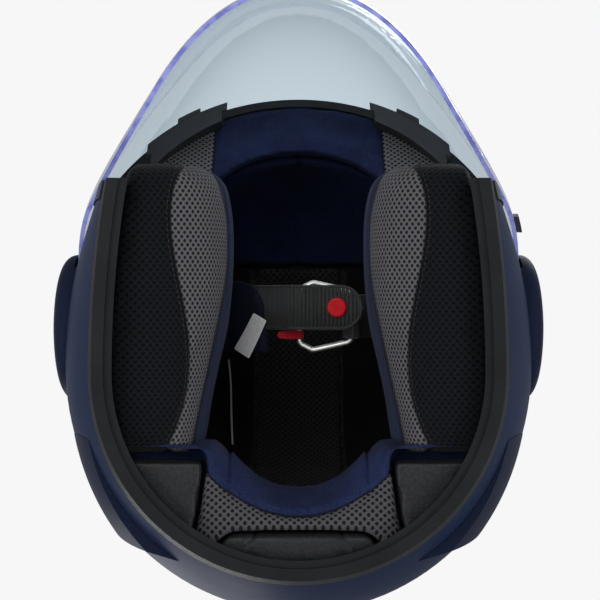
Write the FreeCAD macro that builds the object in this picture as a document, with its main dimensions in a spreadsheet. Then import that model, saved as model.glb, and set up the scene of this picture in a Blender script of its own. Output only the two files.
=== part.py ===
# Open-face motorcycle helmet with a clear visor, drawn in millimetres.
# Z is up, the face looks along -Y and +X is the wearer's left.
# The origin lies on the ground, midway between the visor's front and the back of the shell.
import FreeCAD
import Part
import Sketcher
import math
import os
import re
from types import SimpleNamespace
from FreeCAD import Matrix, Placement, Rotation, Vector

# Driving dimensions, each an alias, its value and what it measures
SIZES = (
    # Outer shell
    ("shell_half_width", 124, "half width at the widest level"),
    ("shell_front_reach", 162, "from the widest station forward to the forehead"),
    ("shell_rear_reach", 132, "from the widest station back to the nape"),
    ("shell_rise", 147, "from the widest level up to the crown"),
    ("widest_level", 110, "height of the widest level above the ground"),
    ("widest_station", 30.5, "how far the widest station lies behind the origin"),
    ("side_tuck", 29, "how far each side draws in at the bottom"),
    ("nape_tuck", 37, "how far the nape draws in at the bottom"),
    ("jaw_flare", 72, "how far the front runs out at the bottom"),
    ("shell_wall", 4, "laminate thickness"),
    ("overrun", 40, "how far cutting tools run past the material"),
    # Face opening
    ("brow_setback", 11, "brow edge behind the form's foremost point"),
    ("brow_drop", 92, "brow edge under the crown"),
    ("cheek_edge_y", -58.5, "front edge of the shell at the ground"),
    ("port_corner_radius", 40, "rounding between brow and cheek edges"),
    # Head cavity in the impact liner
    ("cavity_station", 15.5, "middle of the head behind the origin"),
    ("liner_side_depth", 40, "shell surface to the head cavity at each side"),
    ("liner_front_depth", 36, "shell surface to the head cavity at the forehead"),
    ("liner_rear_depth", 40, "shell surface to the head cavity at the back"),
    ("liner_top_depth", 32, "shell surface to the head cavity at the crown"),
    ("liner_side_floor", 104, "lower edge of the impact liner over the ears"),
    ("liner_rear_floor", 54.4, "lower edge of the impact liner at the nape"),
    ("liner_step_y", 74, "where the lower edge steps down to the nape"),
    ("seat_gap", 0.4, "clearance between a piece and what it sits in"),
    # Rubber edge trims
    ("rim_floor", 2.6, "lower edge of the shell inside its rubber moulding"),
    ("moulding_height", 12, "height of the bottom moulding"),
    ("moulding_depth", 9.1, "inner face of the moulding from the shell surface"),
    ("moulding_proud", 1, "how far the moulding stands out of the shell"),
    ("moulding_lip", 4.2, "height of the moulding's outer lip"),
    ("moulding_step", 4.6, "step of the moulding's underside from the shell surface"),
    ("moulding_step_height", 1.3, "height of that step"),
    ("trim_proud", 0.9, "how far the face trim stands out of the shell"),
    ("trim_lip", 1.5, "thickness of the face trim's inner lip"),
    ("trim_band", 7, "width of the face trim along the surface"),
    ("trim_nose", 1.5, "rubber in front of the shell edge"),
    # Visor
    ("pivot_y", 14.5, "pivot axis behind the origin"),
    ("visor_wall", 2.2, "thickness of the clear visor"),
    ("visor_stand", 7.1, "outer face of the visor's flat ears from the recess floor"),
    ("plate_radius", 30, "visor base plate"),
    ("visor_root", 24, "where the side plates start from the pivot"),
    ("visor_low_extra", 34, "lower edge beyond the top edge, from the pivot"),
    ("visor_low_elbow", 58, "end of the lower edge's flat ears from the pivot"),
    ("visor_low_shoulder_x", 102.5, "shoulder of the lower edge's curve from the middle"),
    ("visor_low_shoulder", 90, "shoulder of the lower edge's curve from the pivot"),
    ("visor_low_nose", 40, "half width of the lower edge's nose pole"),
    ("visor_top_stand", 10.5, "top edge in front of the shell"),
    ("visor_top_elbow", 62, "end of the top edge's flat ears from the pivot"),
    ("visor_top_shoulder_x", 105, "shoulder of the top edge's curve from the middle"),
    ("visor_top_shoulder", 100, "shoulder of the top edge's curve from the pivot"),
    ("visor_top_nose", 44, "half width of the top edge's nose pole"),
    ("ear_radius", 28, "round ear of the visor at the pivot"),
    # Visor mechanism
    ("recess_depth", 13.5, "flat floor of the shell's side recess under the widest point"),
    ("sweep_radius", 74, "front part of the recess, swept by the visor"),
    ("plate_gap", 0.3, "running clearance of the visor's ear"),
    ("hub_radius", 11.5, "hub of the base plate"),
    ("hub_clearance", 0.4, "between the hub and the visor's bore"),
    ("hub_bore_radius", 4, "screw bore in the hub"),
    ("screw_circle", 24, "radius of the base plate's screw circle"),
    ("base_screw_radius", 2, "base plate screw shank"),
    ("base_screw_head", 3.6, "base plate screw head radius"),
    ("base_screw_play", 0.2, "screw to its bores"),
    # Side pods
    ("pod_y", 11.5, "middle of the pod behind the origin"),
    ("pod_height", 106, "middle of the pod above the ground"),
    ("pod_half_length", 39.5, "half length of the pod"),
    ("pod_half_height", 37, "half height of the pod"),
    ("pod_stand", 18.5, "outermost face of the pod from the recess floor"),
    ("pod_wall", 2.2, "pod wall"),
    ("pod_clearance", 0.8, "gap round the pod in the shell's recess"),
    ("pod_boss_radius", 8.5, "boss of the pod on the hub"),
    ("pod_groove", 1.2, "depth of the groove along the pod"),
    # Visor tab
    ("tab_radius", 65, "opening tab from the pivot"),
    ("tab_length", 9, "opening tab along the visor's edge"),
    ("tab_proud", 2.8, "how far the tab stands out"),
    # Brow vents under the brow edge
    ("vent_inner_x", 43.5, "inner end of each brow vent"),
    ("vent_outer_x", 81, "outer end of each brow vent"),
    ("vent_height", 8, "height of the duct in front of the face trim"),
    ("vent_outer_inset", 3, "outer wall of the duct under the shell's surface"),
    ("vent_inner_inset", 12, "inner wall of the duct under the shell's surface"),
    ("vent_lip", 3.6, "how far the duct's lip stands out of its outer wall"),
    ("vent_lip_thickness", 1.3, "thickness of the lip"),
    ("vent_lip_length", 2.5, "lip past each end of the duct"),
    ("vent_mouth_wall", 2, "walls round the duct's mouth"),
    ("vent_mouth_depth", 5, "depth of the duct's mouth"),
    ("tab_seat_gap", 0.05, "opening tab to the visor's outer face"),
    ("shutter_length", 12, "brow vent shutter along the brow"),
    ("shutter_proud", 2.6, "how far the shutter stands out"),
    ("shutter_travel", 8, "travel of the brow vent shutter"),
    ("shutter_gap", 0.35, "shutter to the duct's lip"),
    ("shutter_height", 5, "height of the shutter in front of the face trim"),
    # Crown vent and rear exhaust
    ("crown_vent_y", 63.5, "middle of the crown vent behind the origin"),
    ("crown_vent_half_width", 30, "half width of the crown vent's form"),
    ("crown_vent_half_length", 42, "half length of the crown vent's form"),
    ("crown_vent_half_height", 15, "half height of the crown vent's form"),
    ("crown_vent_sink", 7, "how far the form's middle lies under the shell"),
    ("scoop_half_width", 15, "half width of a cowl's mouth"),
    ("scoop_floor", 1, "floor of a cowl's mouth above the shell"),
    ("scoop_height", 4, "height of a cowl's mouth"),
    ("scoop_depth", 22, "depth of a cowl's mouth from the end of its form"),
    ("slider_length", 20, "crown vent slider along the helmet"),
    ("slider_width", 14, "crown vent slider across the helmet"),
    ("slider_height", 3, "crown vent slider thickness"),
    ("slider_proud", 1.6, "how far the slider stands out of the cowl"),
    ("slider_corner", 2.5, "rounding of the slider's corners"),
    ("slider_travel", 8, "travel of the crown vent slider"),
    ("exhaust_setback", 21.3, "middle of the rear exhaust before the back of the shell"),
    ("exhaust_half_width", 36, "half width of the rear exhaust's form"),
    ("exhaust_half_length", 25, "half length of the rear exhaust's form"),
    ("exhaust_half_height", 12, "half height of the rear exhaust's form"),
    ("exhaust_sink", 5, "how far the form's middle lies under the shell"),
    # Rear side wings
    ("wing_low_level", 22, "lower edge of the wing"),
    ("wing_top_level", 96, "upper edge of the wing"),
    ("wing_front_setback", 100.5, "front end of the wing before the back of the shell"),
    ("wing_corner_setback", 50, "corner of the wing before the back of the shell"),
    ("wing_rear_setback", 40.5, "rear end of the wing before the back of the shell"),
    ("wing_root", 12, "wing's form inside the shell"),
    ("wing_proud", 6, "how far the wing's corner stands out"),
    # Comfort liner
    ("pad_floor", 6.5, "lowest point of the pads above the ground"),
    ("brow_pad_setback", 1, "front face of the brow pad behind the shell's edge"),
    ("brow_pad_depth", 9.2, "rear face of the brow pad behind the shell's edge"),
    ("brow_pad_lap", 1, "impact liner behind the rear face of the brow pad"),
    ("brow_seam_x", 47.5, "seams of the brow pad from the middle"),
    ("channel_width", 1.8, "width of a sewn channel"),
    ("channel_depth", 2.2, "depth of a sewn channel"),
    ("crown_pad_thickness", 7.5, "thickness of the crown pads"),
    ("crown_pad_floor", 106, "lower edge of the crown pads"),
    ("crown_strip_half_width", 26, "half width of the centre strip"),
    ("crown_split_y", -24.5, "rear edge of the front crown pad"),
    ("seam_gap", 0.5, "gap between neighbouring pads"),
    ("cheek_front_y", -70.5, "front end of the cheek pad"),
    ("cheek_rear_y", 68.5, "rear end of the cheek pad"),
    ("cheek_top", 96.5, "top of the cheek pad"),
    ("cheek_depth", 67, "fullest point of the cheek pad from its back"),
    ("cheek_back_inset", 24, "back of the cheek pad's plan from the widest point"),
    ("base_top", 85.5, "top of the cheek pad's backing"),
    ("base_rear_y", 67.5, "rear end of the backing"),
    ("base_thickness", 5, "thickness of the backing"),
    ("pad_inset", 9.8, "outer face of the pads from the shell surface"),
    ("neck_front_setback", 55.5, "front face of the neck roll before the nape's lower edge"),
    ("neck_top", 54, "top of the neck roll"),
    ("neck_half_opening", 33, "half width of the neck roll's opening"),
    ("neck_reach", 17, "depth of the neck roll's opening"),
    ("corner_pad_x", 44.5, "inner edge of the corner pads at their front"),
    ("corner_pad_slant", 5.5, "inner edge of the corner pads further out at their rear"),
    ("corner_pad_setback", 2.5, "front edge of the corner pads behind the neck roll's"),
    ("corner_pad_top", 26, "top of the corner pads"),
    ("corner_pad_rear_setback", 16, "rear end of the corner pads before the nape's lower edge"),
    ("nape_panel_setback", 19.5, "front edge of the nape panel before the nape's lower edge"),
    ("nape_panel_half_width", 32.5, "half width of the nape panel at its front edge"),
    ("nape_tab_half_width", 39, "half width across the nape panel's side tabs"),
    ("nape_tab_length", 8, "slanted ends of the side tabs along the helmet"),
    ("nape_seam_x", 22, "seams between the nape panel and its side tabs"),
    ("nape_panel_top", 26, "top of the nape panel"),
    # Chin strap
    ("strap_width", 23, "webbing width"),
    ("strap_thickness", 1.7, "webbing thickness"),
    ("strap_centre_y", 0.3, "middle of the webbing"),
    ("strap_shelf", 100.8, "height of the webbing over the cheek pads"),
    ("strap_low", 63, "height of the front band of webbing"),
    ("strap_tip_x", 33, "rounded tip of the front band"),
    ("strap_bend", 6, "bend radius of the webbing"),
    ("anchor_bend", 2.2, "bend of the webbing over its rivet"),
    ("strap_slope_top_x", 36, "where the webbing starts to fall"),
    ("strap_slope_foot_x", 4, "where the webbing reaches the front band"),
    ("loop_bend", 3.2, "bends of the webbing round the D-rings"),
    ("anchor_height", 92.5, "height of the strap rivet"),
    ("anchor_plate_thickness", 1.5, "strap anchor plate"),
    ("anchor_plate_half", 6.5, "half size of the strap anchor plate"),
    ("anchor_plate_corner", 2, "rounding of the strap anchor plate"),
    ("rivet_radius", 2.5, "strap rivet shank"),
    ("rivet_head_radius", 5.5, "strap rivet head"),
    ("rivet_head", 1.2, "strap rivet head thickness"),
    ("sleeve_wall", 1.8, "wall of the fabric sleeve"),
    ("sleeve_clearance", 0.3, "sleeve to webbing"),
    ("sleeve_shelf_length", 10, "sleeve on the level part of the webbing"),
    ("sleeve_front_extra", 3, "sleeve in front of the webbing"),
    ("sleeve_rear_extra", 13, "sleeve behind the webbing"),
    ("sleeve_slope_x", 19.2, "how far the sleeve reaches down the slope"),
    ("label_slope_x", 11.5, "middle of the label along the slope"),
    ("ring_wire", 3, "wire diameter of the D-rings"),
    ("ring_half_width", 17.5, "half width of a D-ring at its shoulders"),
    ("ring_bar_half", 13, "half width of a D-ring at its bar"),
    ("ring_nose_half", 14, "half width of a D-ring at its nose"),
    ("ring_shoulder", 7, "shoulders of a D-ring from its nose"),
    ("ring_reach", 27, "reach of a D-ring from its bar"),
    ("ring_bar_x", 27.5, "bar of the D-rings"),
    ("ring_level", 74, "height of the lower D-ring"),
    ("ring_bend", 3.5, "corner radius of the D-rings"),
    ("ring_pitch", 4.3, "distance between the two rings"),
    ("ring_centre_y", 5, "middle of the D-rings"),
    ("tab_tape_length", 12, "red pull tab from the nose of its ring"),
    ("tab_tape_width", 4.7, "width of the red pull tab"),
    ("tab_tape_thickness", 1.6, "thickness of the red pull tab"),
    ("snap_radius", 5, "red press stud cap"),
    ("snap_height", 1.8, "height of the red cap"),
    ("snap_edge", 1.1, "rounding of the red cap"),
    ("snap_setback", 13.5, "press stud from the strap tip"),
    ("stud_radius", 3.4, "stud behind the webbing"),
    ("stud_height", 2.4, "height of the stud"),
    ("snap_post_radius", 1.2, "post through the webbing"),
    ("label_width", 15, "sewn label"),
    ("label_length", 22, "sewn label"),
    ("label_thickness", 0.5, "sewn label"),
)

# Sizes worked out from the driving ones
DERIVED_SIZES = (
    ("brow_edge_y", "widest_station - shell_front_reach + brow_setback", "brow edge on the centre plane"),
    ("brow_edge_height", "widest_level + shell_rise - brow_drop", "brow edge above the ground"),
    ("cavity_half_width", "shell_half_width - liner_side_depth", "half width of the head cavity"),
    (
        "cavity_front_reach",
        "shell_front_reach - widest_station + cavity_station - liner_front_depth",
        "cavity reach to the forehead",
    ),
    (
        "cavity_rear_reach",
        "shell_rear_reach + widest_station - cavity_station - liner_rear_depth",
        "cavity reach to the back of the head",
    ),
    ("cavity_rise", "shell_rise - liner_top_depth", "cavity height above the widest level"),
    ("recess_x", "shell_half_width - recess_depth", "flat floor of the shell's side recess"),
    ("visor_flat_x", "recess_x + visor_stand", "outer face of the visor's flat ears"),
    ("pod_face_x", "recess_x + pod_stand", "outermost face of the pod"),
    (
        "visor_top_reach",
        "shell_front_reach - widest_station + pivot_y + visor_top_stand",
        "top edge of the visor from the pivot",
    ),
    ("visor_low_reach", "visor_top_reach + visor_low_extra", "lower edge of the visor from the pivot"),
    ("shell_back_y", "widest_station + shell_rear_reach", "back of the shell"),
    ("nape_edge_y", "shell_back_y - nape_tuck", "lower edge of the shell at the nape"),
    ("exhaust_y", "shell_back_y - exhaust_setback", "middle of the rear exhaust"),
    ("wing_front_y", "shell_back_y - wing_front_setback", "front end of the wing"),
    ("wing_corner_y", "shell_back_y - wing_corner_setback", "corner of the wing"),
    ("wing_rear_y", "shell_back_y - wing_rear_setback", "rear end of the wing"),
    ("cheek_back_x", "shell_half_width - cheek_back_inset", "back of the cheek pad's plan"),
    ("neck_front_y", "nape_edge_y - neck_front_setback", "front face of the neck roll"),
    ("corner_pad_front_y", "neck_front_y + corner_pad_setback", "front edge of the corner pads"),
    ("corner_pad_rear_y", "nape_edge_y - corner_pad_rear_setback", "rear end of the corner pads"),
    ("nape_panel_y", "nape_edge_y - nape_panel_setback", "front edge of the nape panel"),
)

# Angles in degrees, those of the visor about its pivot above the forward level
VISOR_LOW_ANGLE = -28
VISOR_TOP_ANGLE = 29
VISOR_OPENING_ANGLE = 60
BROW_SLOPE_ANGLE = 45
CHEEK_LEAN_ANGLE = 0
TAB_ANGLE = 3.5
SWEEP_MARGIN_ANGLE = 8
WALL_MARGIN_ANGLE = 4
SEAT_MARGIN_ANGLE = 1
SCREW_ANGLES = (42, 162, 282)

# Outlines as shares of the sizes that they follow
SKIRT_SHARES = (0, 0.25, 0.5, 0.75, 1)
WING_PROUD_SHARES = ((0, 1), (0.5, 0.75), (1, 0.15))
WING_ALONG_SHARES = (0, 0.25, 0.5, 0.75, 1)
POD_DOME_SHARES = ((0, 1), (0.45, 0.97), (0.8, 0.84), (1, 0.6))
POD_GROOVE_SHARES = (0.5, 0.44)
PULL_TAB_BEND_SHARE = 0.9
LOOP_JOIN_SHARE = 1.6
CHEEK_PLAN_SHARES = ((0.8, 0), (0.88, 0.25), (1, 0.47), (1.03, 0.83), (0.92, 1), (0.55, 1))
CHEEK_SWELL_SHARES = (
    (0, 0.8, 0.9),
    (0.08, 0.91, 0.96),
    (0.24, 0.98, 1),
    (0.5, 1, 1),
    (0.72, 0.94, 0.98),
    (0.88, 0.88, 0.95),
    (1, 0.78, 0.9),
)
NECK_SHARES = ((0, 1.3, 1.5), (0.2, 1.12, 1.2), (0.5, 1, 1), (1, 1.2, 1.3))

document = FreeCAD.newDocument("Helmet")
sheet = document.addObject("Spreadsheet::Sheet", "Sizes")
rows = [(alias, str(value), note) for alias, value, note in SIZES]
rows += [(alias, "=" + words, note) for alias, words, note in DERIVED_SIZES]
for row, (alias, content, note) in enumerate(rows, start=1):
    sheet.set("A%d" % row, alias)
    sheet.set("B%d" % row, content)
    sheet.set("C%d" % row, note)
    sheet.setAlias("B%d" % row, alias)
document.recompute()
size = SimpleNamespace(**{alias: float(sheet.get(alias)) for alias, content, note in rows})

X_AXIS = Vector(1, 0, 0)
Y_AXIS = Vector(0, 1, 0)
Z_AXIS = Vector(0, 0, 1)
SIDES = (("left", 1), ("right", -1))


pieces = []


# Objects of the document
def feature(name, shape):
    """A sub-part whose form neither sketches nor primitives describe."""
    piece = document.addObject("Part::Feature", name)
    piece.Shape = shape
    pieces.append(piece)
    return piece


def both_sides(name, shape):
    """The piece on the wearer's left and its mirror image on the right."""
    feature(name + "_left", shape)
    feature(name + "_right", shape.mirror(Vector(), X_AXIS))


def rule(words):
    """Expression on the sheet for a sum written in aliases."""
    return re.sub(r"[a-z]+(_[a-z]+)+", lambda found: "Sizes." + found.group(), words)


def worth(words):
    """Present value of a sum written in aliases."""
    return float(sheet.evalExpression(rule(words)))


def bind(item, **sums):
    """Tie properties of an object to sums on the sheet."""
    for name, words in sums.items():
        item.setExpression(name, rule(words))
    return item


def bind_place(item, across, along, up):
    """Tie an object's position to sums on the sheet."""
    for name, words in (("x", across), ("y", along), ("z", up)):
        item.setExpression("Placement.Base." + name, rule(words))


def attached_sketch(body, name, plane):
    """Empty sketch on a plane of its body's own origin."""
    sketch = body.newObject("Sketcher::SketchObject", name)
    support = next(item for item in body.Origin.OriginFeatures if item.Role == plane)
    sketch.AttachmentSupport = [(support, "")]
    sketch.MapMode = "FlatFace"
    return sketch


def constrain(sketch, kind, words, *ends):
    """Dimension of a sketch tied to a sum on the sheet."""
    number = sketch.addConstraint(Sketcher.Constraint(kind, *ends, worth(words)))
    sketch.setExpression("Constraints[%d]" % number, rule(words))


def circle_sketch(body, name, plane, radius, across="0", up="0"):
    """Sketch of one circle about a point of the plane."""
    sketch = attached_sketch(body, name, plane)
    middle = Vector(worth(across), worth(up), 0)
    circle = sketch.addGeometry(Part.Circle(middle, Z_AXIS, worth(radius)))
    constrain(sketch, "Radius", radius, circle)
    if across == "0" and up == "0":
        sketch.addConstraint(Sketcher.Constraint("Coincident", -1, 1, circle, 3))
    else:
        constrain(sketch, "DistanceX", across, -1, 1, circle, 3)
        constrain(sketch, "DistanceY", up, -1, 1, circle, 3)
    return sketch


def corner_sketch(body, name, plane, corners):
    """Closed sketch of straight edges through corners given as sums."""
    sketch = attached_sketch(body, name, plane)
    spots = [Vector(worth(across), worth(up), 0) for across, up in corners]
    for start, end in zip(spots, spots[1:] + spots[:1]):
        sketch.addGeometry(Part.LineSegment(start, end))
    for index, (across, up) in enumerate(corners):
        following = (index + 1) % len(corners)
        sketch.addConstraint(Sketcher.Constraint("Coincident", index, 2, following, 1))
        for kind, words, axis in (("DistanceX", across, -2), ("DistanceY", up, -1)):
            if words == "0":
                sketch.addConstraint(Sketcher.Constraint("PointOnObject", index, 1, axis))
            else:
                constrain(sketch, kind, words, -1, 1, index, 1)
    return sketch


def pad(body, name, sketch, length):
    """Boss raised on a sketch."""
    boss = body.newObject("PartDesign::Pad", name)
    boss.Profile = sketch
    return bind(boss, Length=length)


def through_pocket(body, name, sketch):
    """Bore through everything on the side that the sketch looks at."""
    bore = body.newObject("PartDesign::Pocket", name)
    bore.Profile = sketch
    bore.Type = "ThroughAll"
    bore.Reversed = True
    return bore


def turned_body(name, plane, corners, axis):
    """Body turned about an axis of its sketch."""
    body = document.addObject("PartDesign::Body", name)
    turning = body.newObject("PartDesign::Revolution", name + "_turning")
    turning.Profile = corner_sketch(body, name + "_profile", plane, corners)
    turning.ReferenceAxis = (turning.Profile[0], [axis])
    turning.Angle = 360
    return body


def round_edges(body, name, base, kind, amount, chosen):
    """Fillet or chamfer on the edges of a feature that a test chooses."""
    document.recompute()
    edges = ["Edge%d" % number for number, edge in enumerate(base.Shape.Edges, start=1) if chosen(edge)]
    work = body.newObject("PartDesign::" + kind, name)
    work.Base = (base, edges)
    return bind(work, **{"Radius" if kind == "Fillet" else "Size": amount})


def mirrored(source, name):
    """Mirror image of an object on the wearer's right."""
    image = document.addObject("Part::Mirroring", name)
    image.Source = source
    image.Normal = X_AXIS
    return image


def sub_parts(*items):
    """Objects that are written to files of their own."""
    pieces.extend(items)


# General shapes


def block(low, high):
    """Box between two corners."""
    low, high = Vector(*low), Vector(*high)
    return Part.makeBox(high.x - low.x, high.y - low.y, high.z - low.z, low)


def polygon_face(points):
    """Flat face inside straight edges."""
    return Part.Face(Part.makePolygon(points + points[:1]))


def ellipsoid(middle, half_x, half_y, half_z):
    """Ellipsoid about a middle point."""
    scale = Matrix()
    scale.scale(half_x, half_y, half_z)
    body = Part.makeSphere(1).transformGeometry(scale)
    body.translate(Vector(*middle))
    return body


def half_ellipse(half, reach, station, level):
    """Level curve from +X round the reach to -X."""
    root = math.sqrt(0.5)
    poles = [
        Vector(half, station, level),
        Vector(half, station + reach, level),
        Vector(0, station + reach, level),
        Vector(-half, station + reach, level),
        Vector(-half, station, level),
    ]
    curve = Part.BSplineCurve()
    curve.buildFromPolesMultsKnots(poles, [3, 2, 3], [0, 1, 2], False, 2, [1, root, 1, root, 1])
    return curve.toShape()


def oval_wire(half, front, rear, station, level):
    """Closed level curve of two half ellipses."""
    return Part.Wire([half_ellipse(half, rear, station, level), half_ellipse(half, -front, station, level)])


def quarter_dome(half, reach, rise, station, level):
    """Quarter of an ellipsoid above a level, on one side of a station."""
    scale = Matrix()
    scale.scale(half, abs(reach), rise)
    dome = Part.makeSphere(1, Vector(), Z_AXIS, 0, 90, 180)
    if reach < 0:
        dome.rotate(Vector(), Z_AXIS, 180)
    dome = dome.transformGeometry(scale)
    dome.translate(Vector(0, station, level))
    return dome


def egg(station, half, front, rear, rise, tuck=0, nape=0, flare=0):
    """Solid with a domed top and drawn-in sides, from the ground to its crown."""
    level = size.widest_level
    wires = []
    for share in SKIRT_SHARES:
        drawn = share * share
        wires.append(
            oval_wire(
                half - tuck * drawn, front + flare * share * drawn, rear - nape * drawn, station, level * (1 - share)
            )
        )
    skirt = Part.makeLoft(wires, True, False)
    domes = [quarter_dome(half, reach, rise, station, level) for reach in (rear, -front)]
    return skirt.fuse(domes).removeSplitter()


# Outline planes of the face opening, seen from the side
def port_region(back=0):
    """Everything in front of the face opening's edge, with the edge moved back."""
    slope, lean = math.radians(BROW_SLOPE_ANGLE), math.radians(CHEEK_LEAN_ANGLE)
    brow_y = size.brow_edge_y + back * math.sin(slope)
    brow_z = size.brow_edge_height + back * math.cos(slope)
    cheek_y = size.cheek_edge_y + back * math.cos(lean)
    cheek_z = back * math.sin(lean)
    # The brow line falls backwards, the cheek line leans forwards going up
    along = (cheek_y - brow_y - (brow_z - cheek_z) * math.tan(lean)) / (1 - math.tan(slope) * math.tan(lean))
    corner = Vector(0, brow_y + along, brow_z - along * math.tan(slope))
    far = size.shell_front_reach + size.overrun
    lead = far - size.overrun / 2 + corner.y
    high = Vector(0, corner.y - lead, corner.z + lead * math.tan(slope))
    foot = Vector(0, corner.y + (corner.z + size.overrun) * math.tan(lean), -size.overrun)
    bend = math.pi - (math.pi / 2 + slope - lean)
    radius = size.port_corner_radius + back
    cut = radius * math.tan(bend / 2)
    to_high = (high - corner).normalize()
    to_foot = (foot - corner).normalize()
    start = corner + to_high * cut
    end = corner + to_foot * cut
    inward = (to_high + to_foot).normalize()
    centre = corner + inward * (radius / math.cos(bend / 2))
    middle = centre - inward * radius
    edges = [
        Part.makeLine(high, start),
        Part.Arc(start, middle, end).toShape(),
        Part.makeLine(end, foot),
        Part.makeLine(foot, Vector(0, -far, -size.overrun)),
        Part.makeLine(Vector(0, -far, -size.overrun), Vector(0, -far, high.z)),
        Part.makeLine(Vector(0, -far, high.z), high),
    ]
    face = Part.Face(Part.Wire(edges))
    reach = size.shell_half_width + size.overrun
    face.translate(Vector(-reach, 0, 0))
    return face.extrude(Vector(2 * reach, 0, 0))


def recess_tool(inset):
    """Flat side recess under the pod and the visor's sweep, on the wearer's left."""
    floor = size.recess_x - inset
    grow = size.pod_clearance + inset
    scale = Matrix()
    scale.scale(1, size.pod_half_length + grow, size.pod_half_height + grow)
    pod = Part.makeCylinder(1, size.overrun, Vector(), X_AXIS).transformGeometry(scale)
    pod.translate(Vector(floor, size.pod_y, size.pod_height))
    # The visor sweeps from its closed lower edge to its opened top edge
    low = math.radians(VISOR_LOW_ANGLE - SWEEP_MARGIN_ANGLE)
    high = math.radians(VISOR_TOP_ANGLE + VISOR_OPENING_ANGLE + SWEEP_MARGIN_ANGLE)
    radius = size.sweep_radius + inset
    pivot = Vector(floor, size.pivot_y, size.widest_level)
    rays = [Vector(0, -math.cos(angle), math.sin(angle)) for angle in (low, (low + high) / 2, high)]
    sector = Part.Face(
        Part.Wire(
            [
                Part.makeLine(pivot, pivot + rays[0] * radius),
                Part.Arc(*[pivot + ray * radius for ray in rays]).toShape(),
                Part.makeLine(pivot + rays[2] * radius, pivot),
            ]
        )
    ).extrude(Vector(size.overrun, 0, 0))
    return pod.fuse(sector)


def shell_form(inset=0):
    """The helmet's outer form, drawn in by an inset."""
    body = egg(
        size.widest_station,
        size.shell_half_width - inset,
        size.shell_front_reach - inset,
        size.shell_rear_reach - inset,
        size.shell_rise - inset,
        size.side_tuck,
        size.nape_tuck,
        size.jaw_flare,
    )
    recess = recess_tool(inset)
    return body.cut([recess, recess.mirror(Vector(), X_AXIS)])


def cavity_form(inset=0):
    """The head cavity in the impact liner, drawn in by an inset."""
    return egg(
        size.cavity_station,
        size.cavity_half_width - inset,
        size.cavity_front_reach - inset,
        size.cavity_rear_reach - inset,
        size.cavity_rise - inset,
    )


SPAN = size.shell_half_width + size.overrun
FAR_BACK = size.widest_station + size.shell_rear_reach + size.overrun
FAR_FRONT = -(size.shell_front_reach + size.overrun)
FAR_UP = size.widest_level + size.shell_rise + size.overrun


def above(level):
    """Everything above a level."""
    return block((-SPAN, FAR_FRONT, level), (SPAN, FAR_BACK, FAR_UP))


def between(low, high):
    """Everything between two levels."""
    return block((-SPAN, FAR_FRONT, low), (SPAN, FAR_BACK, high))


OUTER = shell_form()
INNER = shell_form(size.shell_wall)
LINER_FACE = shell_form(size.shell_wall + size.seat_gap)
PAD_FACE = shell_form(size.pad_inset)
CAVITY = cavity_form()


def on_pivot(angle, radius):
    """Point of the recess floor at an angle and radius about the pivot."""
    turn = math.radians(angle)
    return Vector(
        size.recess_x, size.pivot_y + radius * math.cos(turn), size.widest_level + radius * math.sin(turn)
    )


# Shell, impact liner and rubber edges
def make_outer_shell():
    wall = OUTER.cut(INNER).cut(port_region()).common(above(size.rim_floor))
    bores = []
    for name, side in SIDES:
        low_x = side * (size.recess_x - size.overrun / 4)
        bores.append(
            Part.makeCylinder(
                size.rivet_radius + size.hub_clearance,
                size.overrun / 2,
                Vector(low_x, size.strap_centre_y, size.anchor_height),
                X_AXIS * side,
            )
        )
        for angle in SCREW_ANGLES:
            start = on_pivot(angle, size.screw_circle)
            start.x = low_x
            bores.append(
                Part.makeCylinder(size.base_screw_radius + size.base_screw_play, size.overrun / 2, start, X_AXIS * side)
            )
    return wall.cut(bores)


def make_impact_liner():
    liner = LINER_FACE.cut(CAVITY).cut(port_region(size.brow_pad_depth + size.brow_pad_lap))
    under_side = block((-SPAN, FAR_FRONT, -size.overrun), (SPAN, size.liner_step_y, size.liner_side_floor))
    under_rear = between(-size.overrun, size.liner_rear_floor)
    return liner.cut([under_side, under_rear])


def make_eyeport_trim():
    lip = size.shell_wall + size.trim_lip
    wall = shell_form(-size.trim_proud).cut(shell_form(lip))
    band = wall.cut(port_region(-size.trim_nose)).common(port_region(size.trim_band))
    band = band.common(above(size.moulding_height + size.seat_gap / 2))
    return band.cut(document.getObject("outer_shell").Shape)


def make_bottom_moulding():
    """Edge rubber with a low outer lip, a taller inner wall and a stepped underside."""
    hollow = shell_form(size.moulding_depth)
    lip = shell_form(-size.moulding_proud).cut(hollow).common(between(0, size.moulding_lip))
    wall = OUTER.cut(hollow).common(between(0, size.moulding_height))
    step = shell_form(size.moulding_step).common(between(-size.overrun, size.moulding_step_height))
    ring = lip.fuse(wall).cut([port_region(-size.trim_nose), step])
    return ring.cut(document.getObject("outer_shell").Shape)


feature("outer_shell", make_outer_shell())
feature("impact_liner", make_impact_liner())
feature("eyeport_trim", make_eyeport_trim())
feature("bottom_moulding", make_bottom_moulding())


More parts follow.
